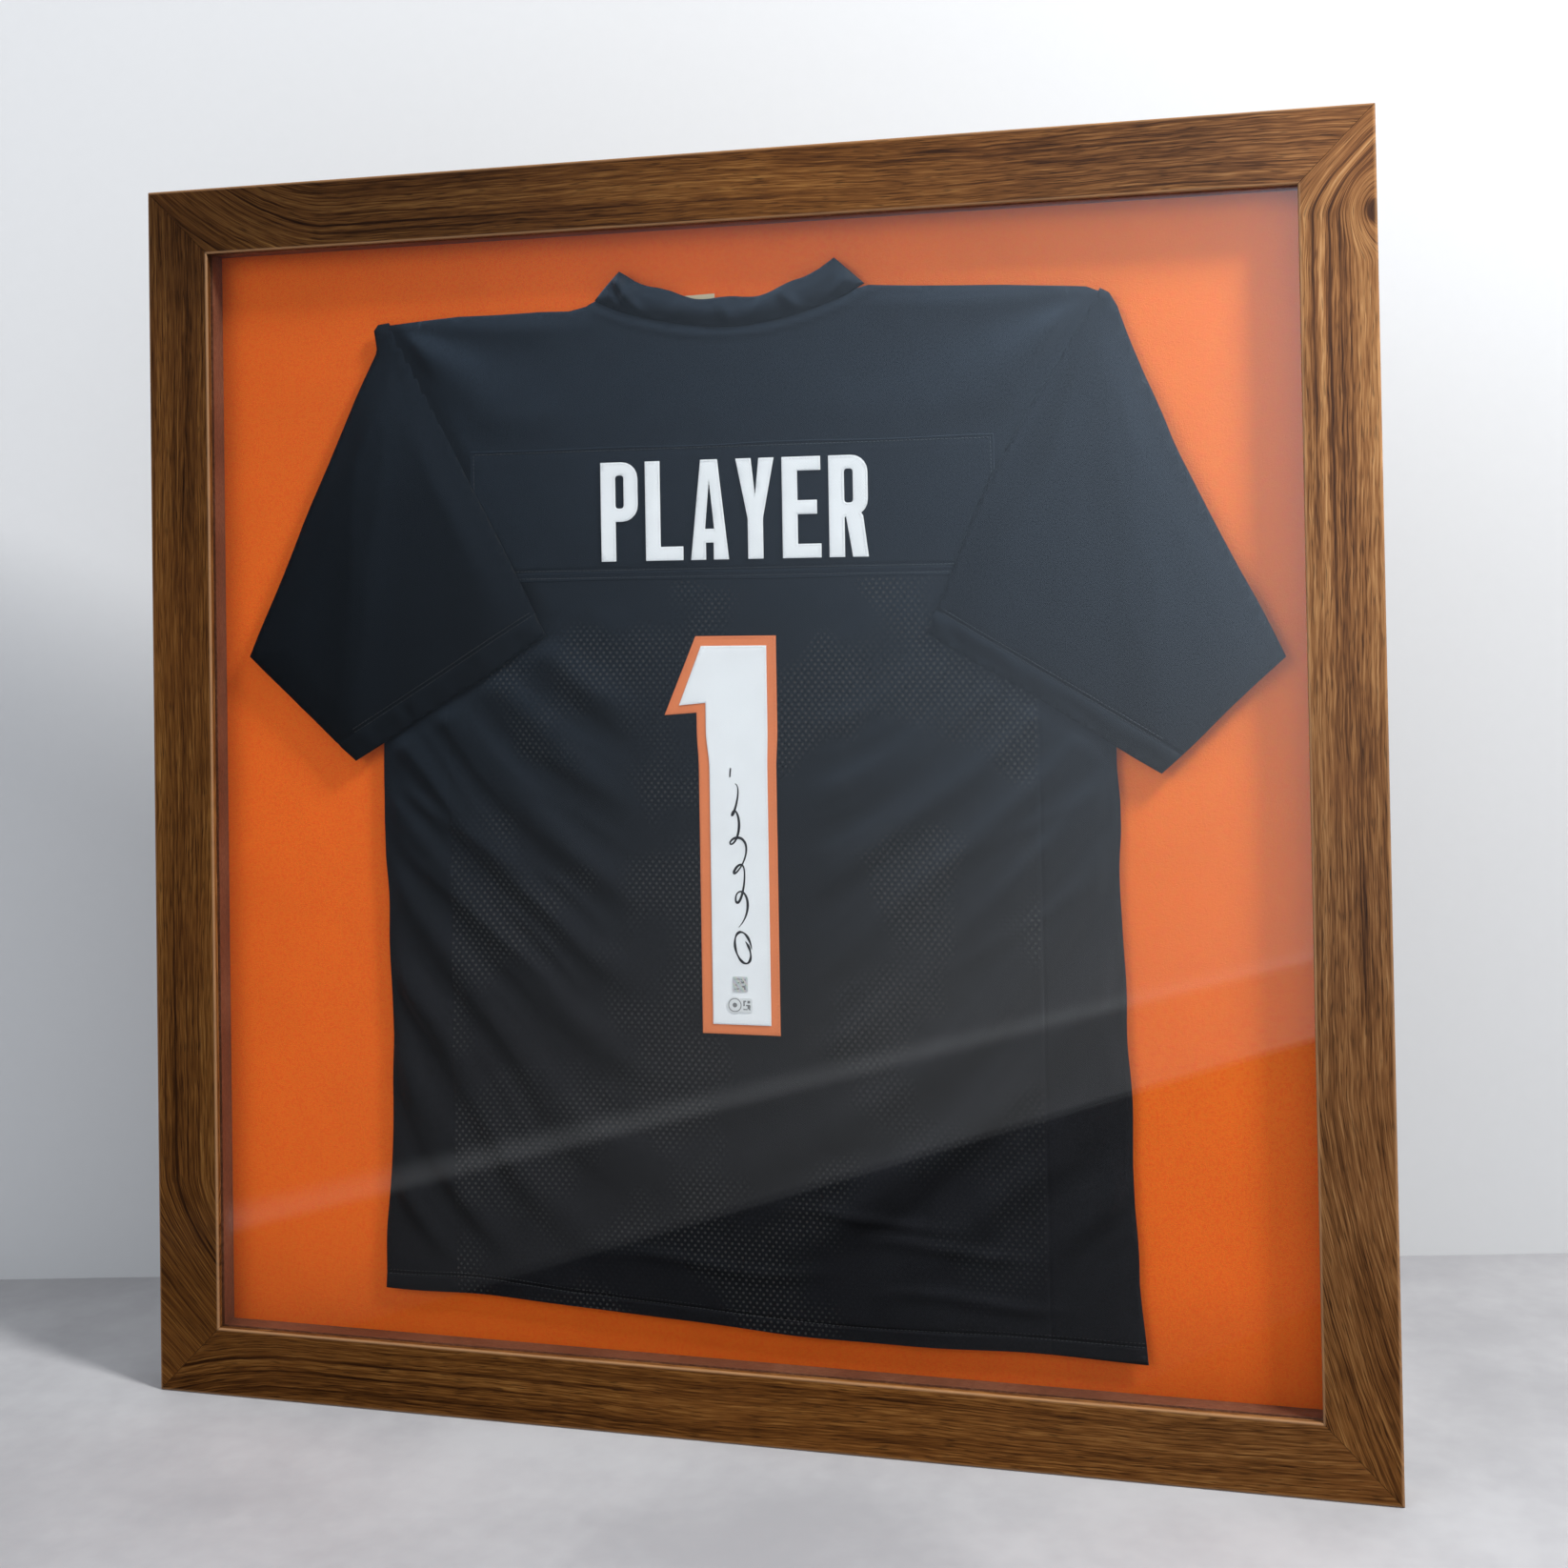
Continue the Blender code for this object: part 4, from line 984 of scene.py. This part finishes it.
def collar_depth(x, z, inside):
    crown = 0.0019 * smooth(inside, 0.0, 0.011)
    wrinkles = np.zeros_like(x)
    for place, lean, height, width in (
        (-0.092, 0.9, 0.0013, 0.0050), (-0.079, -0.5, -0.0014, 0.0028), (-0.068, -0.7, 0.0014, 0.0060),
        (-0.034, 0.5, 0.0011, 0.0080), (0.004, -0.4, 0.0012, 0.0065), (0.031, 0.6, 0.0010, 0.0080),
        (0.061, -0.8, 0.0014, 0.0065), (0.087, 0.8, 0.0013, 0.0060), (0.103, 0.9, 0.0010, 0.0045),
    ):
        wrinkles += height * bell(x - place - lean * (z - 0.892), width)
    fold = 0.0012 * bell(x + 0.093 - 0.55 * (z - 0.905), 0.0045)
    return level_of("jersey_collar") + 0.0006 - crown - (1.5 * wrinkles + fold) * smooth(inside, 0.0, 0.006)


def collar_warp(x, z):
    """A wavy upper edge."""
    rim = smooth(-inside_distance(x, z, COLLAR), -0.012, 0.0) * smooth(z, 0.893, 0.900)
    return 0.0, 0.0015 * np.sin(TAU * x / 0.052 + 0.9) * (1 - smooth(np.abs(x), 0.055, 0.080)) * rim


def make_collar():
    drape(
        "jersey_collar", "collar_band", "knit", collar_depth, cell=0.0040, thickness=0.0016, rim=0.0010,
        refine=1, wander=0.0008, warp=collar_warp,
    )
    flat = lying_flat(level_of("neck_label"), 0.0001, 0.02, 51)
    drape(
        "neck_label", "neck_tape", "tape", flat, cell=0.0040, thickness=0.0005, rim=0.0002,
        warp=lambda x, z: (0.0, -0.0010 + 0.03 * (x + 0.026)),
    )


def make_nameplate():
    level = level_of("jersey_nameplate") + 0.00072
    rows = (PLATE_LOW.z + 0.0012, PLATE_LOW.z + PLATE_SEAM_RISE, PLATE_HIGH.z - 0.0012)

    def depth(x, z, inside):
        seams = groove(z - rows[1], depth=0.0004) + groove(inside - 0.0030, width=0.0010, depth=0.0002)
        return level - torso_height(x, z) - seams

    cuts = [cut for row in rows for cut in seam_cuts((0, 0, row), (0, 0, 1))]
    drape(
        "jersey_nameplate", "nameplate", "knit", depth, cell=0.0070, thickness=0.0007, rim=0.0005,
        refine=1, cuts=cuts, wander=0.0005,
    )


def pinch(share, shift):
    """Draws the numeral's stem in towards its middle, below the flag."""

    def warp(x, z):
        low = 1 - smooth(z, NUMBER_HIGH.z - 0.105, NUMBER_HIGH.z - 0.075)
        return (shift - share * (x - NUMBER_HIGH.x + STEM_HALF)) * low, 0.0

    return warp


BORDER_PINCH = pinch(0.038, 0.0)
FACE_PINCH = pinch(0.061, 0.0009)


def make_twill():
    for node in LETTERS:
        name = node.replace("name_", "twill_")
        drape(node, name, "white", follow(node), cell=0.0045, thickness=0.0008, rim=0.0004)
    for node, name, look, warp in (
        ("number_outline", "number_border", "orange_twill", BORDER_PINCH),
        ("number_face", "number_front", "white", FACE_PINCH),
    ):
        drape(node, name, look, follow(node), cell=0.0080, thickness=0.0007, rim=0.0004, refine=1, warp=warp)


def make_stickers():
    for node, look, shift in (("sticker_square", "foil", 0.0), ("sticker_round", "label", STICKER_SHIFT)):
        drape(
            node, node + "_foil", look, follow(node), cell=0.0030, thickness=0.0003, rim=0.00012,
            warp=lambda x, z, shift=shift: (-shift, 0.0),
        )
    make_sticker_tab()


def make_sticker_tab():
    """The round sticker's square half, which is die-cut with it from one label."""
    low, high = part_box("sticker_round")
    centre_x, centre_z = middle_of("sticker_round")
    centre_x += (high.x - low.x) / 2 - STICKER_SHIFT * 0.45
    corner = 0.0014
    size_x, size_z = 0.0050, 0.0056
    outline = []
    for side in range(4):
        way = math.radians(90 * side)
        for step in range(5):
            angle = way + math.radians(90 * step / 4)
            across = math.copysign(size_x - corner, math.cos(way + 0.7)) + corner * math.cos(angle)
            up = math.copysign(size_z - corner, math.sin(way + 0.7)) + corner * math.sin(angle)
            outline.append((centre_x + across, centre_z + up))
    x, z = np.array(outline).T
    front = low.y + 0.00006 - torso_height(x, z)
    add_piece(closed_mesh("sticker_tab_foil", x, z, front, front + 0.0003, [list(range(len(x)))]), "label")


def make_suede():
    flat = lying_flat(level_of("mount_fabric") + 0.00012, 0.00012, 0.16, 71)
    drape("mount_fabric", "suede_mount", "suede", flat, cell=0.0200, thickness=0.0006, rim=0.0004)


def offset_loop(loop, inset):
    """The loop drawn towards the material on its left, with mitred corners."""
    before = loop - np.roll(loop, 1, axis=0)
    after = np.roll(loop, -1, axis=0) - loop
    normals = []
    for way in (before, after):
        way /= np.hypot(*way.T)[:, None]
        normals.append(np.column_stack([-way[:, 1], way[:, 0]]))
    middle = normals[0] + normals[1]
    share = np.maximum((middle * normals[0]).sum(1), 0.5)
    return loop + middle * (inset / share)[:, None]


def stitch_places(path, closed):
    """(centre, direction) of each stitch along a path."""
    ends = np.roll(path, -1, axis=0) if closed else path[1:]
    places = []
    carry = STITCH_PITCH / 2
    for a, b in zip(path, ends):
        length = np.hypot(*(b - a))
        if length == 0:
            continue
        while carry < length:
            places.append((*(a + (b - a) * carry / length), *((b - a) / length)))
            carry += STITCH_PITCH
        carry -= length
    return places


def tube_faces(rings, sides):
    """Faces round a tube of rings of points, each ring listed after the one before it."""
    faces = []
    for ring in range(rings - 1):
        for i in range(sides):
            low, j = ring * sides, (i + 1) % sides
            faces.append([low + i, low + j, low + sides + j, low + sides + i])
    return faces + [list(range(sides))[::-1], [(rings - 1) * sides + i for i in range(sides)]]


def make_stitches(name, look, level, runs, warp=no_warp):
    """Every stitch of some runs in one piece: each is a small spindle that lies along the run."""
    places = np.array([place for path, closed in runs for place in stitch_places(path, closed)])
    pull_x, pull_z = warp(places[:, 0], places[:, 1])
    places[:, 0] += pull_x
    places[:, 1] += pull_z
    sides = 6
    rings = [(-0.5, 0.15), (-0.32, 0.85), (0.0, 1.0), (0.32, 0.85), (0.5, 0.15)]
    turns = TAU * np.arange(sides) / sides
    along = np.repeat([place * STITCH_LENGTH for place, _ in rings], sides)
    wide = np.repeat([width * STITCH_RADIUS for _, width in rings], sides)
    across, out = wide * np.tile(np.cos(turns), len(rings)), wide * np.tile(np.sin(turns), len(rings))
    dx, dz = places[:, 2:3], places[:, 3:4]
    x = places[:, 0:1] + along * dx - across * dz
    z = places[:, 1:2] + along * dz + across * dx
    y = level(places[:, 0], places[:, 1])[:, None] + out * 0.8
    faces = tube_faces(len(rings), sides)
    every = [[i + k * len(along) for i in face] for k in range(len(places)) for face in faces]
    add_piece(new_mesh(name, np.stack([x, y, z], axis=2).reshape(-1, 3), every), look)


def make_stitching():
    inset = 0.0012
    sink = STITCH_RADIUS * 0.25

    def over(level):
        return lambda x, z: level - torso_height(x, z)

    for name, look, nodes, warp in (
        ("name_stitching", "white_thread", LETTERS, no_warp),
        ("number_stitching", "white_thread", ["number_face"], FACE_PINCH),
        ("border_stitching", "orange_thread", ["number_outline"], BORDER_PINCH),
    ):
        runs = [(offset_loop(loop, inset), True) for node in nodes for loop in loops_of(node)]
        make_stitches(name, look, over(level_of(nodes[0]) - sink), runs, warp)

    row = PLATE_LOW.z + PLATE_SEAM_RISE
    plate = [(offset_loop(loop, 0.0030), True) for loop in loops_of("jersey_nameplate")]
    plate.append((np.array([(PLATE_LOW.x + 0.004, row), (PLATE_HIGH.x - 0.004, row)]), False))
    plate_level = over(level_of("jersey_nameplate") + 0.00082 - sink)
    make_stitches("nameplate_stitching", "dark_thread", plate_level, plate)

    trim = np.array([(0.004, 0.0), (0.0, 0.0), (-0.004, 0.0)])
    hem = [(HEM + trim + (0.0, lift), False) for lift in (HEM_SEAM, HEM_SEAM + ROW_GAP)]
    make_stitches("hem_stitching", "hem_thread", over(TORSO_Y + 0.00012), hem, hem_sag)

    for side, loops in SLEEVES.items():
        lower, inner, along, up = cuff_frame(side)
        start, end = lower + along * 0.012, inner - along * 0.012 * 0.3
        runs = []
        for lift in (CUFF_SEAM, CUFF_SEAM + ROW_GAP):
            steps = np.linspace(start + up * lift, end + up * lift, 120)
            within = inside_distance(steps[:, 0], steps[:, 1], loops) > 0.004
            runs.append((steps[within][[0, -1]], False))
        depth = sleeve_depth(side)

        def level(x, z, depth=depth, loops=loops):
            return depth(x, z, np.maximum(inside_distance(x, z, loops), 0)) - sink

        make_stitches(f"cuff_stitching_{side}", "dark_thread", level, runs)


def swept_tube(name, path, radii, sides=8, flatten=0.35):
    """A closed tube along a path, flattened front to back."""
    ahead = np.gradient(path, axis=0)
    across = np.cross(ahead, (0.0, 1.0, 0.0))
    across /= np.linalg.norm(across, axis=1)[:, None]
    points = []
    for turn in TAU * np.arange(sides) / sides:
        offset = across * math.cos(turn) - np.array([0, flatten, 0]) * math.sin(turn)
        points.append(path + offset * radii[:, None])
    points = np.stack(points, axis=1).reshape(-1, 3)
    return new_mesh(name, points, tube_faces(len(path), sides))


def make_flourish():
    """A pen scribble of plain loops that climbs the numeral. It is no writing."""
    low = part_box("number_face")[0]
    middle = middle_of("sticker_square")[0]

    def stroke(name, x, z, broad):
        along = np.linspace(0, 1, len(x))
        y = low.y - torso_height(x, z) - 0.00008
        taper = np.minimum(1, np.minimum(along, 1 - along) * 14 + 0.30)
        width = broad * (0.80 + 0.20 * np.sin(TAU * 6 * along)) * taper
        add_piece(swept_tube(name, np.column_stack([x, y, z]), width), "ink")

    t = np.linspace(0, 1, 260)
    turns = 4.5
    swing = 0.0088 * (1 - 0.50 * t) * (0.70 + 0.30 * np.cos(TAU * 1.7 * t + 0.6))
    x = middle - 0.0005 + swing * np.sin(TAU * turns * t) + 0.0022 * np.sin(TAU * 0.9 * t)
    z = low.z + 0.086 + 0.100 * t - 0.0100 * (1 - 0.45 * t) * np.cos(TAU * turns * t + 0.5)
    stroke("pen_flourish", x, z, 0.00105)
    t = np.linspace(0, 1, 120)
    x = middle + 0.0010 + 0.0078 * np.sin(TAU * 1.15 * t + 0.5) * (1 - 0.25 * t) + 0.0030 * t
    z = low.z + 0.059 + 0.0115 * np.cos(TAU * 1.15 * t + 0.9) + 0.0040 * t
    stroke("pen_loop", x, z, 0.00110)
    t = np.linspace(0, 1, 24)
    stroke("pen_tick", middle - 0.0060 + 0.0007 * t, low.z + 0.196 + 0.0075 * t, 0.00080)


def finish_hard_parts():
    """Gives every CAD node that stays on show its material."""
    steel = zinc()
    looks = {
        "glazing": clear_glass(), "spacer": spacer_wood(), "back_panel": hardboard(), "wall_bumper": rubber(),
        "mount_board": board("mount_board", (0.80, 0.79, 0.76), (0.66, 0.65, 0.61)),
        "jersey_form_board": board("form_foam", (0.86, 0.86, 0.85), (0.74, 0.74, 0.73)),
        "corner_nail": steel, "turn_button": steel, "button_screw": steel, "hanger": steel, "d_ring": steel,
    }
    for name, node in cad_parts.items():
        if name.startswith("rail_"):
            looks[name] = rail_finish(name)
        for start, material in looks.items():
            if name.startswith(start):
                node.data.materials.clear()
                node.data.materials.append(material)


def make_looks():
    """The looks that the new pieces take: each is a material and the slot it stands for."""
    dark_thread = thread("dark_thread", (0.0060, 0.0070, 0.0090))
    return {
        "suede": (suede(), "orange_suede"),
        "knit": (jersey_knit("charcoal_knit", False), "charcoal_knit"),
        # The sleeves' tone, light way and strength are painted light: the left sleeve is painted darker than
        # the right.
        "sleeve_left": (jersey_knit("sleeve_knit_left", False, 0.54, SLEEVE_LIGHT_WAY, 4.4), "charcoal_knit"),
        "sleeve_right": (jersey_knit("sleeve_knit_right", False, 0.78, SLEEVE_LIGHT_WAY, 3.6), "charcoal_knit"),
        "mesh": (jersey_knit("charcoal_mesh", True), "charcoal_mesh"),
        "white": (twill("white_twill", (0.88, 0.90, 0.93), (0.74, 0.77, 0.81)), "white_twill"),
        "orange_twill": (twill("orange_twill", (0.800, 0.235, 0.080), (0.640, 0.155, 0.048)), "orange_twill"),
        "white_thread": (thread("white_thread", (0.86, 0.88, 0.91)), "white_twill"),
        "orange_thread": (thread("orange_thread", (0.76, 0.21, 0.06)), "orange_twill"),
        "dark_thread": (dark_thread, "charcoal_knit"),
        "hem_thread": (dark_thread, "charcoal_mesh"),
        "tape": (woven_tape(), "cream_tape"),
        "foil": (foil_sticker(), "silver_sticker"),
        "label": (paper_label(), "silver_sticker"),
        "ink": (marker_ink(), "white_twill"),
    }


LOOKS = make_looks()


# ---------------------------------------------------------------- stage


def stage_mesh(name, corners, material):
    mesh = bpy.data.meshes.new(name)
    mesh.from_pydata(corners, [], [list(range(len(corners)))])
    mesh.materials.append(material)
    panel = bpy.data.objects.new(name, mesh)
    bpy.context.scene.collection.objects.link(panel)
    return panel


def floor_finish():
    f = Finish("pale_floor")
    cloud = f.noise(3.2, 5.0, 1.0, roughness=0.6)
    fine = f.noise(60.0, 3.0, 2.0)
    patches = f.span(cloud + fine * 0.12, 0.38, 0.72)
    colour = f.mix(patches, (0.27, 0.27, 0.285), (0.36, 0.36, 0.375))
    return f.surface(colour, 0.55, f.bump(fine, 0.0004), Specular_IOR_Level=0.25)


def wall_finish():
    """Matt white from the front; light and sight pass through it from behind."""
    f = Finish("pale_wall")
    grain = f.noise(90.0, 3.0, 1.0)
    colour = f.shade((0.50, 0.51, 0.525), grain * 0.03 + 0.985)
    paint = f.value("BsdfDiffuse", 0, {"Color": colour})
    clear = f.value("BsdfTransparent", 0)
    rear = f.value("NewGeometry", "Backfacing")
    return f.made_of(f.value("MixShader", 0, {0: rear, 1: paint, 2: clear}))


def card_finish():
    """A glowing card seen only in mirrors, painted with the reflection of a pale wall that brightens to the
    right, its skirting, and a dark floor.
    """
    f = Finish("mirrored_room")
    start, end = Vector(MIRROR_LEFT), Vector(MIRROR_RIGHT)
    along = (end - start) / (end - start).length_squared
    share = (f.x - start.x) * along.x + (f.y - start.y) * along.y
    rise = f.math("MINIMUM", f.math("MAXIMUM", (share + 0.05) * (1 / 1.05), 0.0), 1.0)
    wall = rise ** 1.9 * 0.85 + 0.02
    height = f.span(f.z, 0.1, 1.25, 0.86, 1.50)
    skirting = f.span(f.z, -0.006, 0.006, f.span(share, 0.3, 0.9, 0.62, 0.52), 1.0)
    gap = f.span(f.z, -SKIRTING_DROP - 0.004, -SKIRTING_DROP + 0.004)
    lip = f.span(f.z, -0.016, 0.0) * f.span(f.z, 0.030, 0.002) * f.span(share, 0.0, 1.0, 1.0, 0.8)
    above = f.span(f.z, -SKIRTING_DROP - 0.012, -SKIRTING_DROP - 0.006)
    even = above * f.span(share, 0.1, 0.9, 1.10, 0.34)
    ground = (1.0 - above) * f.span(share, 0.3, 0.9, 0.0, 0.075)
    strength = wall * (height * skirting * gap + even) + lip * 0.30 + ground
    tint = f.mix(f.span(f.z, -0.05, 0.75), (0.90, 0.93, 0.98), (0.76, 0.93, 1.16))
    return f.made_of(f.value("Emission", 0, {"Color": tint, "Strength": strength}))


def upright(name, start, end, low, material):
    """A wall over the line between two places on the floor."""
    high = 3.0
    return stage_mesh(name, [(*start, low), (*end, low), (*end, high), (*start, high)], material)


def make_stage():
    size = 5.0
    corners = [(-size, -size, 0), (size, -size, 0), (size, size, 0), (-size, size, 0)]
    floor = stage_mesh("floor", corners, floor_finish())
    middle = Vector((HALF_WIDTH, WALL_GAP))
    reach = Vector(CAMERA_RIGHT[:2]).normalized() * 3.2
    wall = upright("backdrop", middle - reach, middle + reach, 0.0, wall_finish())
    floor.visible_glossy = wall.visible_glossy = False
    # The mirrored room is a glowing card that only mirror rays see: a painted reflection.
    start = Vector(MIRROR_LEFT)
    run = Vector(MIRROR_RIGHT) - start
    card = upright("mirrored_room", start - run * 0.08, start + run * 1.35, -0.6, card_finish())
    for ray in ("camera", "diffuse", "shadow", "transmission", "volume_scatter"):
        setattr(card, "visible_" + ray, False)


def add_area_light(name, place, size, energy, colour=(1.0, 1.0, 1.0), mirrored=False):
    """A disk of light that faces the middle of the frame."""
    data = bpy.data.lights.new(name, "AREA")
    data.shape = "DISK"
    data.size = size
    data.energy = energy
    data.color = colour
    light = bpy.data.objects.new(name, data)
    light.location = place
    light.rotation_euler = (Vector((0.0, 0.0, 0.5)) - Vector(place)).to_track_quat("-Z", "Y").to_euler()
    bpy.context.scene.collection.objects.link(light)
    light.visible_glossy = mirrored


def make_lights():
    warm, cool = (1.0, 0.985, 0.96), (0.93, 0.96, 1.0)
    add_area_light("key", (2.10, -0.92, 3.03), size=0.55, energy=180.0, colour=warm, mirrored=True)
    add_area_light("fill", (-1.6, -2.4, 1.7), size=1.8, energy=28.0, colour=cool)
    add_area_light("rear", (1.2, 2.3, 1.9), size=1.6, energy=52.0)


def make_world():
    """Soft grey for scattered light; mirrors see it bright behind the frame and dim in front of it."""
    world = bpy.data.worlds.new("studio")
    bpy.context.scene.world = world
    tree = Nodes(world, "OutputWorld")
    toward_back = tree.parts(tree.value("TexCoord", "Generated"))[1]
    sky = tree.value("MapRange", 0, {0: toward_back, 1: -0.10, 2: 0.25, 3: 0.04, 4: 0.80})
    soft = tree.value("Background", 0, {"Color": (0.93, 0.96, 1.0, 1), "Strength": 0.82})
    seen = tree.value("Background", 0, {"Strength": sky})
    mirrored = tree.value("LightPath", "Is Glossy Ray")
    tree.show(tree.value("MixShader", 0, {0: mirrored, 1: soft, 2: seen}))


def make_camera():
    """The reference view. Its lens shift is driven, so that it holds only while the camera is there."""
    data = bpy.data.cameras.new("camera")
    data.lens = LENS
    data.clip_start = 0.05
    data.clip_end = 50.0
    camera = bpy.data.objects.new("camera", data)
    bpy.context.scene.collection.objects.link(camera)
    back = Vector(CAMERA_BACK).normalized()
    up = back.cross(Vector(CAMERA_RIGHT)).normalized()
    right = up.cross(back)
    turn = Matrix((right, up, back)).transposed()
    camera.matrix_world = Matrix.Translation(CAMERA_AT) @ turn.to_4x4()
    for channel, shift in (("shift_x", SHIFT_X), ("shift_y", SHIFT_Y)):
        driver = data.driver_add(channel).driver
        driver.type = "SCRIPTED"
        near = driver.variables.new()
        near.name = "x"
        near.type = "TRANSFORMS"
        near.targets[0].id = camera
        near.targets[0].transform_type = "LOC_X"
        near.targets[0].transform_space = "WORLD_SPACE"
        driver.expression = f"{shift} if abs(x - {CAMERA_AT[0]}) < 0.001 else 0"
    bpy.context.scene.camera = camera


def set_tone():
    view = bpy.context.scene.view_settings
    view.view_transform = "Standard"
    view.look = "None"
    view.exposure = 0.0


finish_hard_parts()
make_suede()
make_torso()
make_sleeves()
make_collar()
make_nameplate()
make_twill()
make_stickers()
make_stitching()
make_flourish()
make_stage()
make_lights()
make_world()
make_camera()
set_tone()
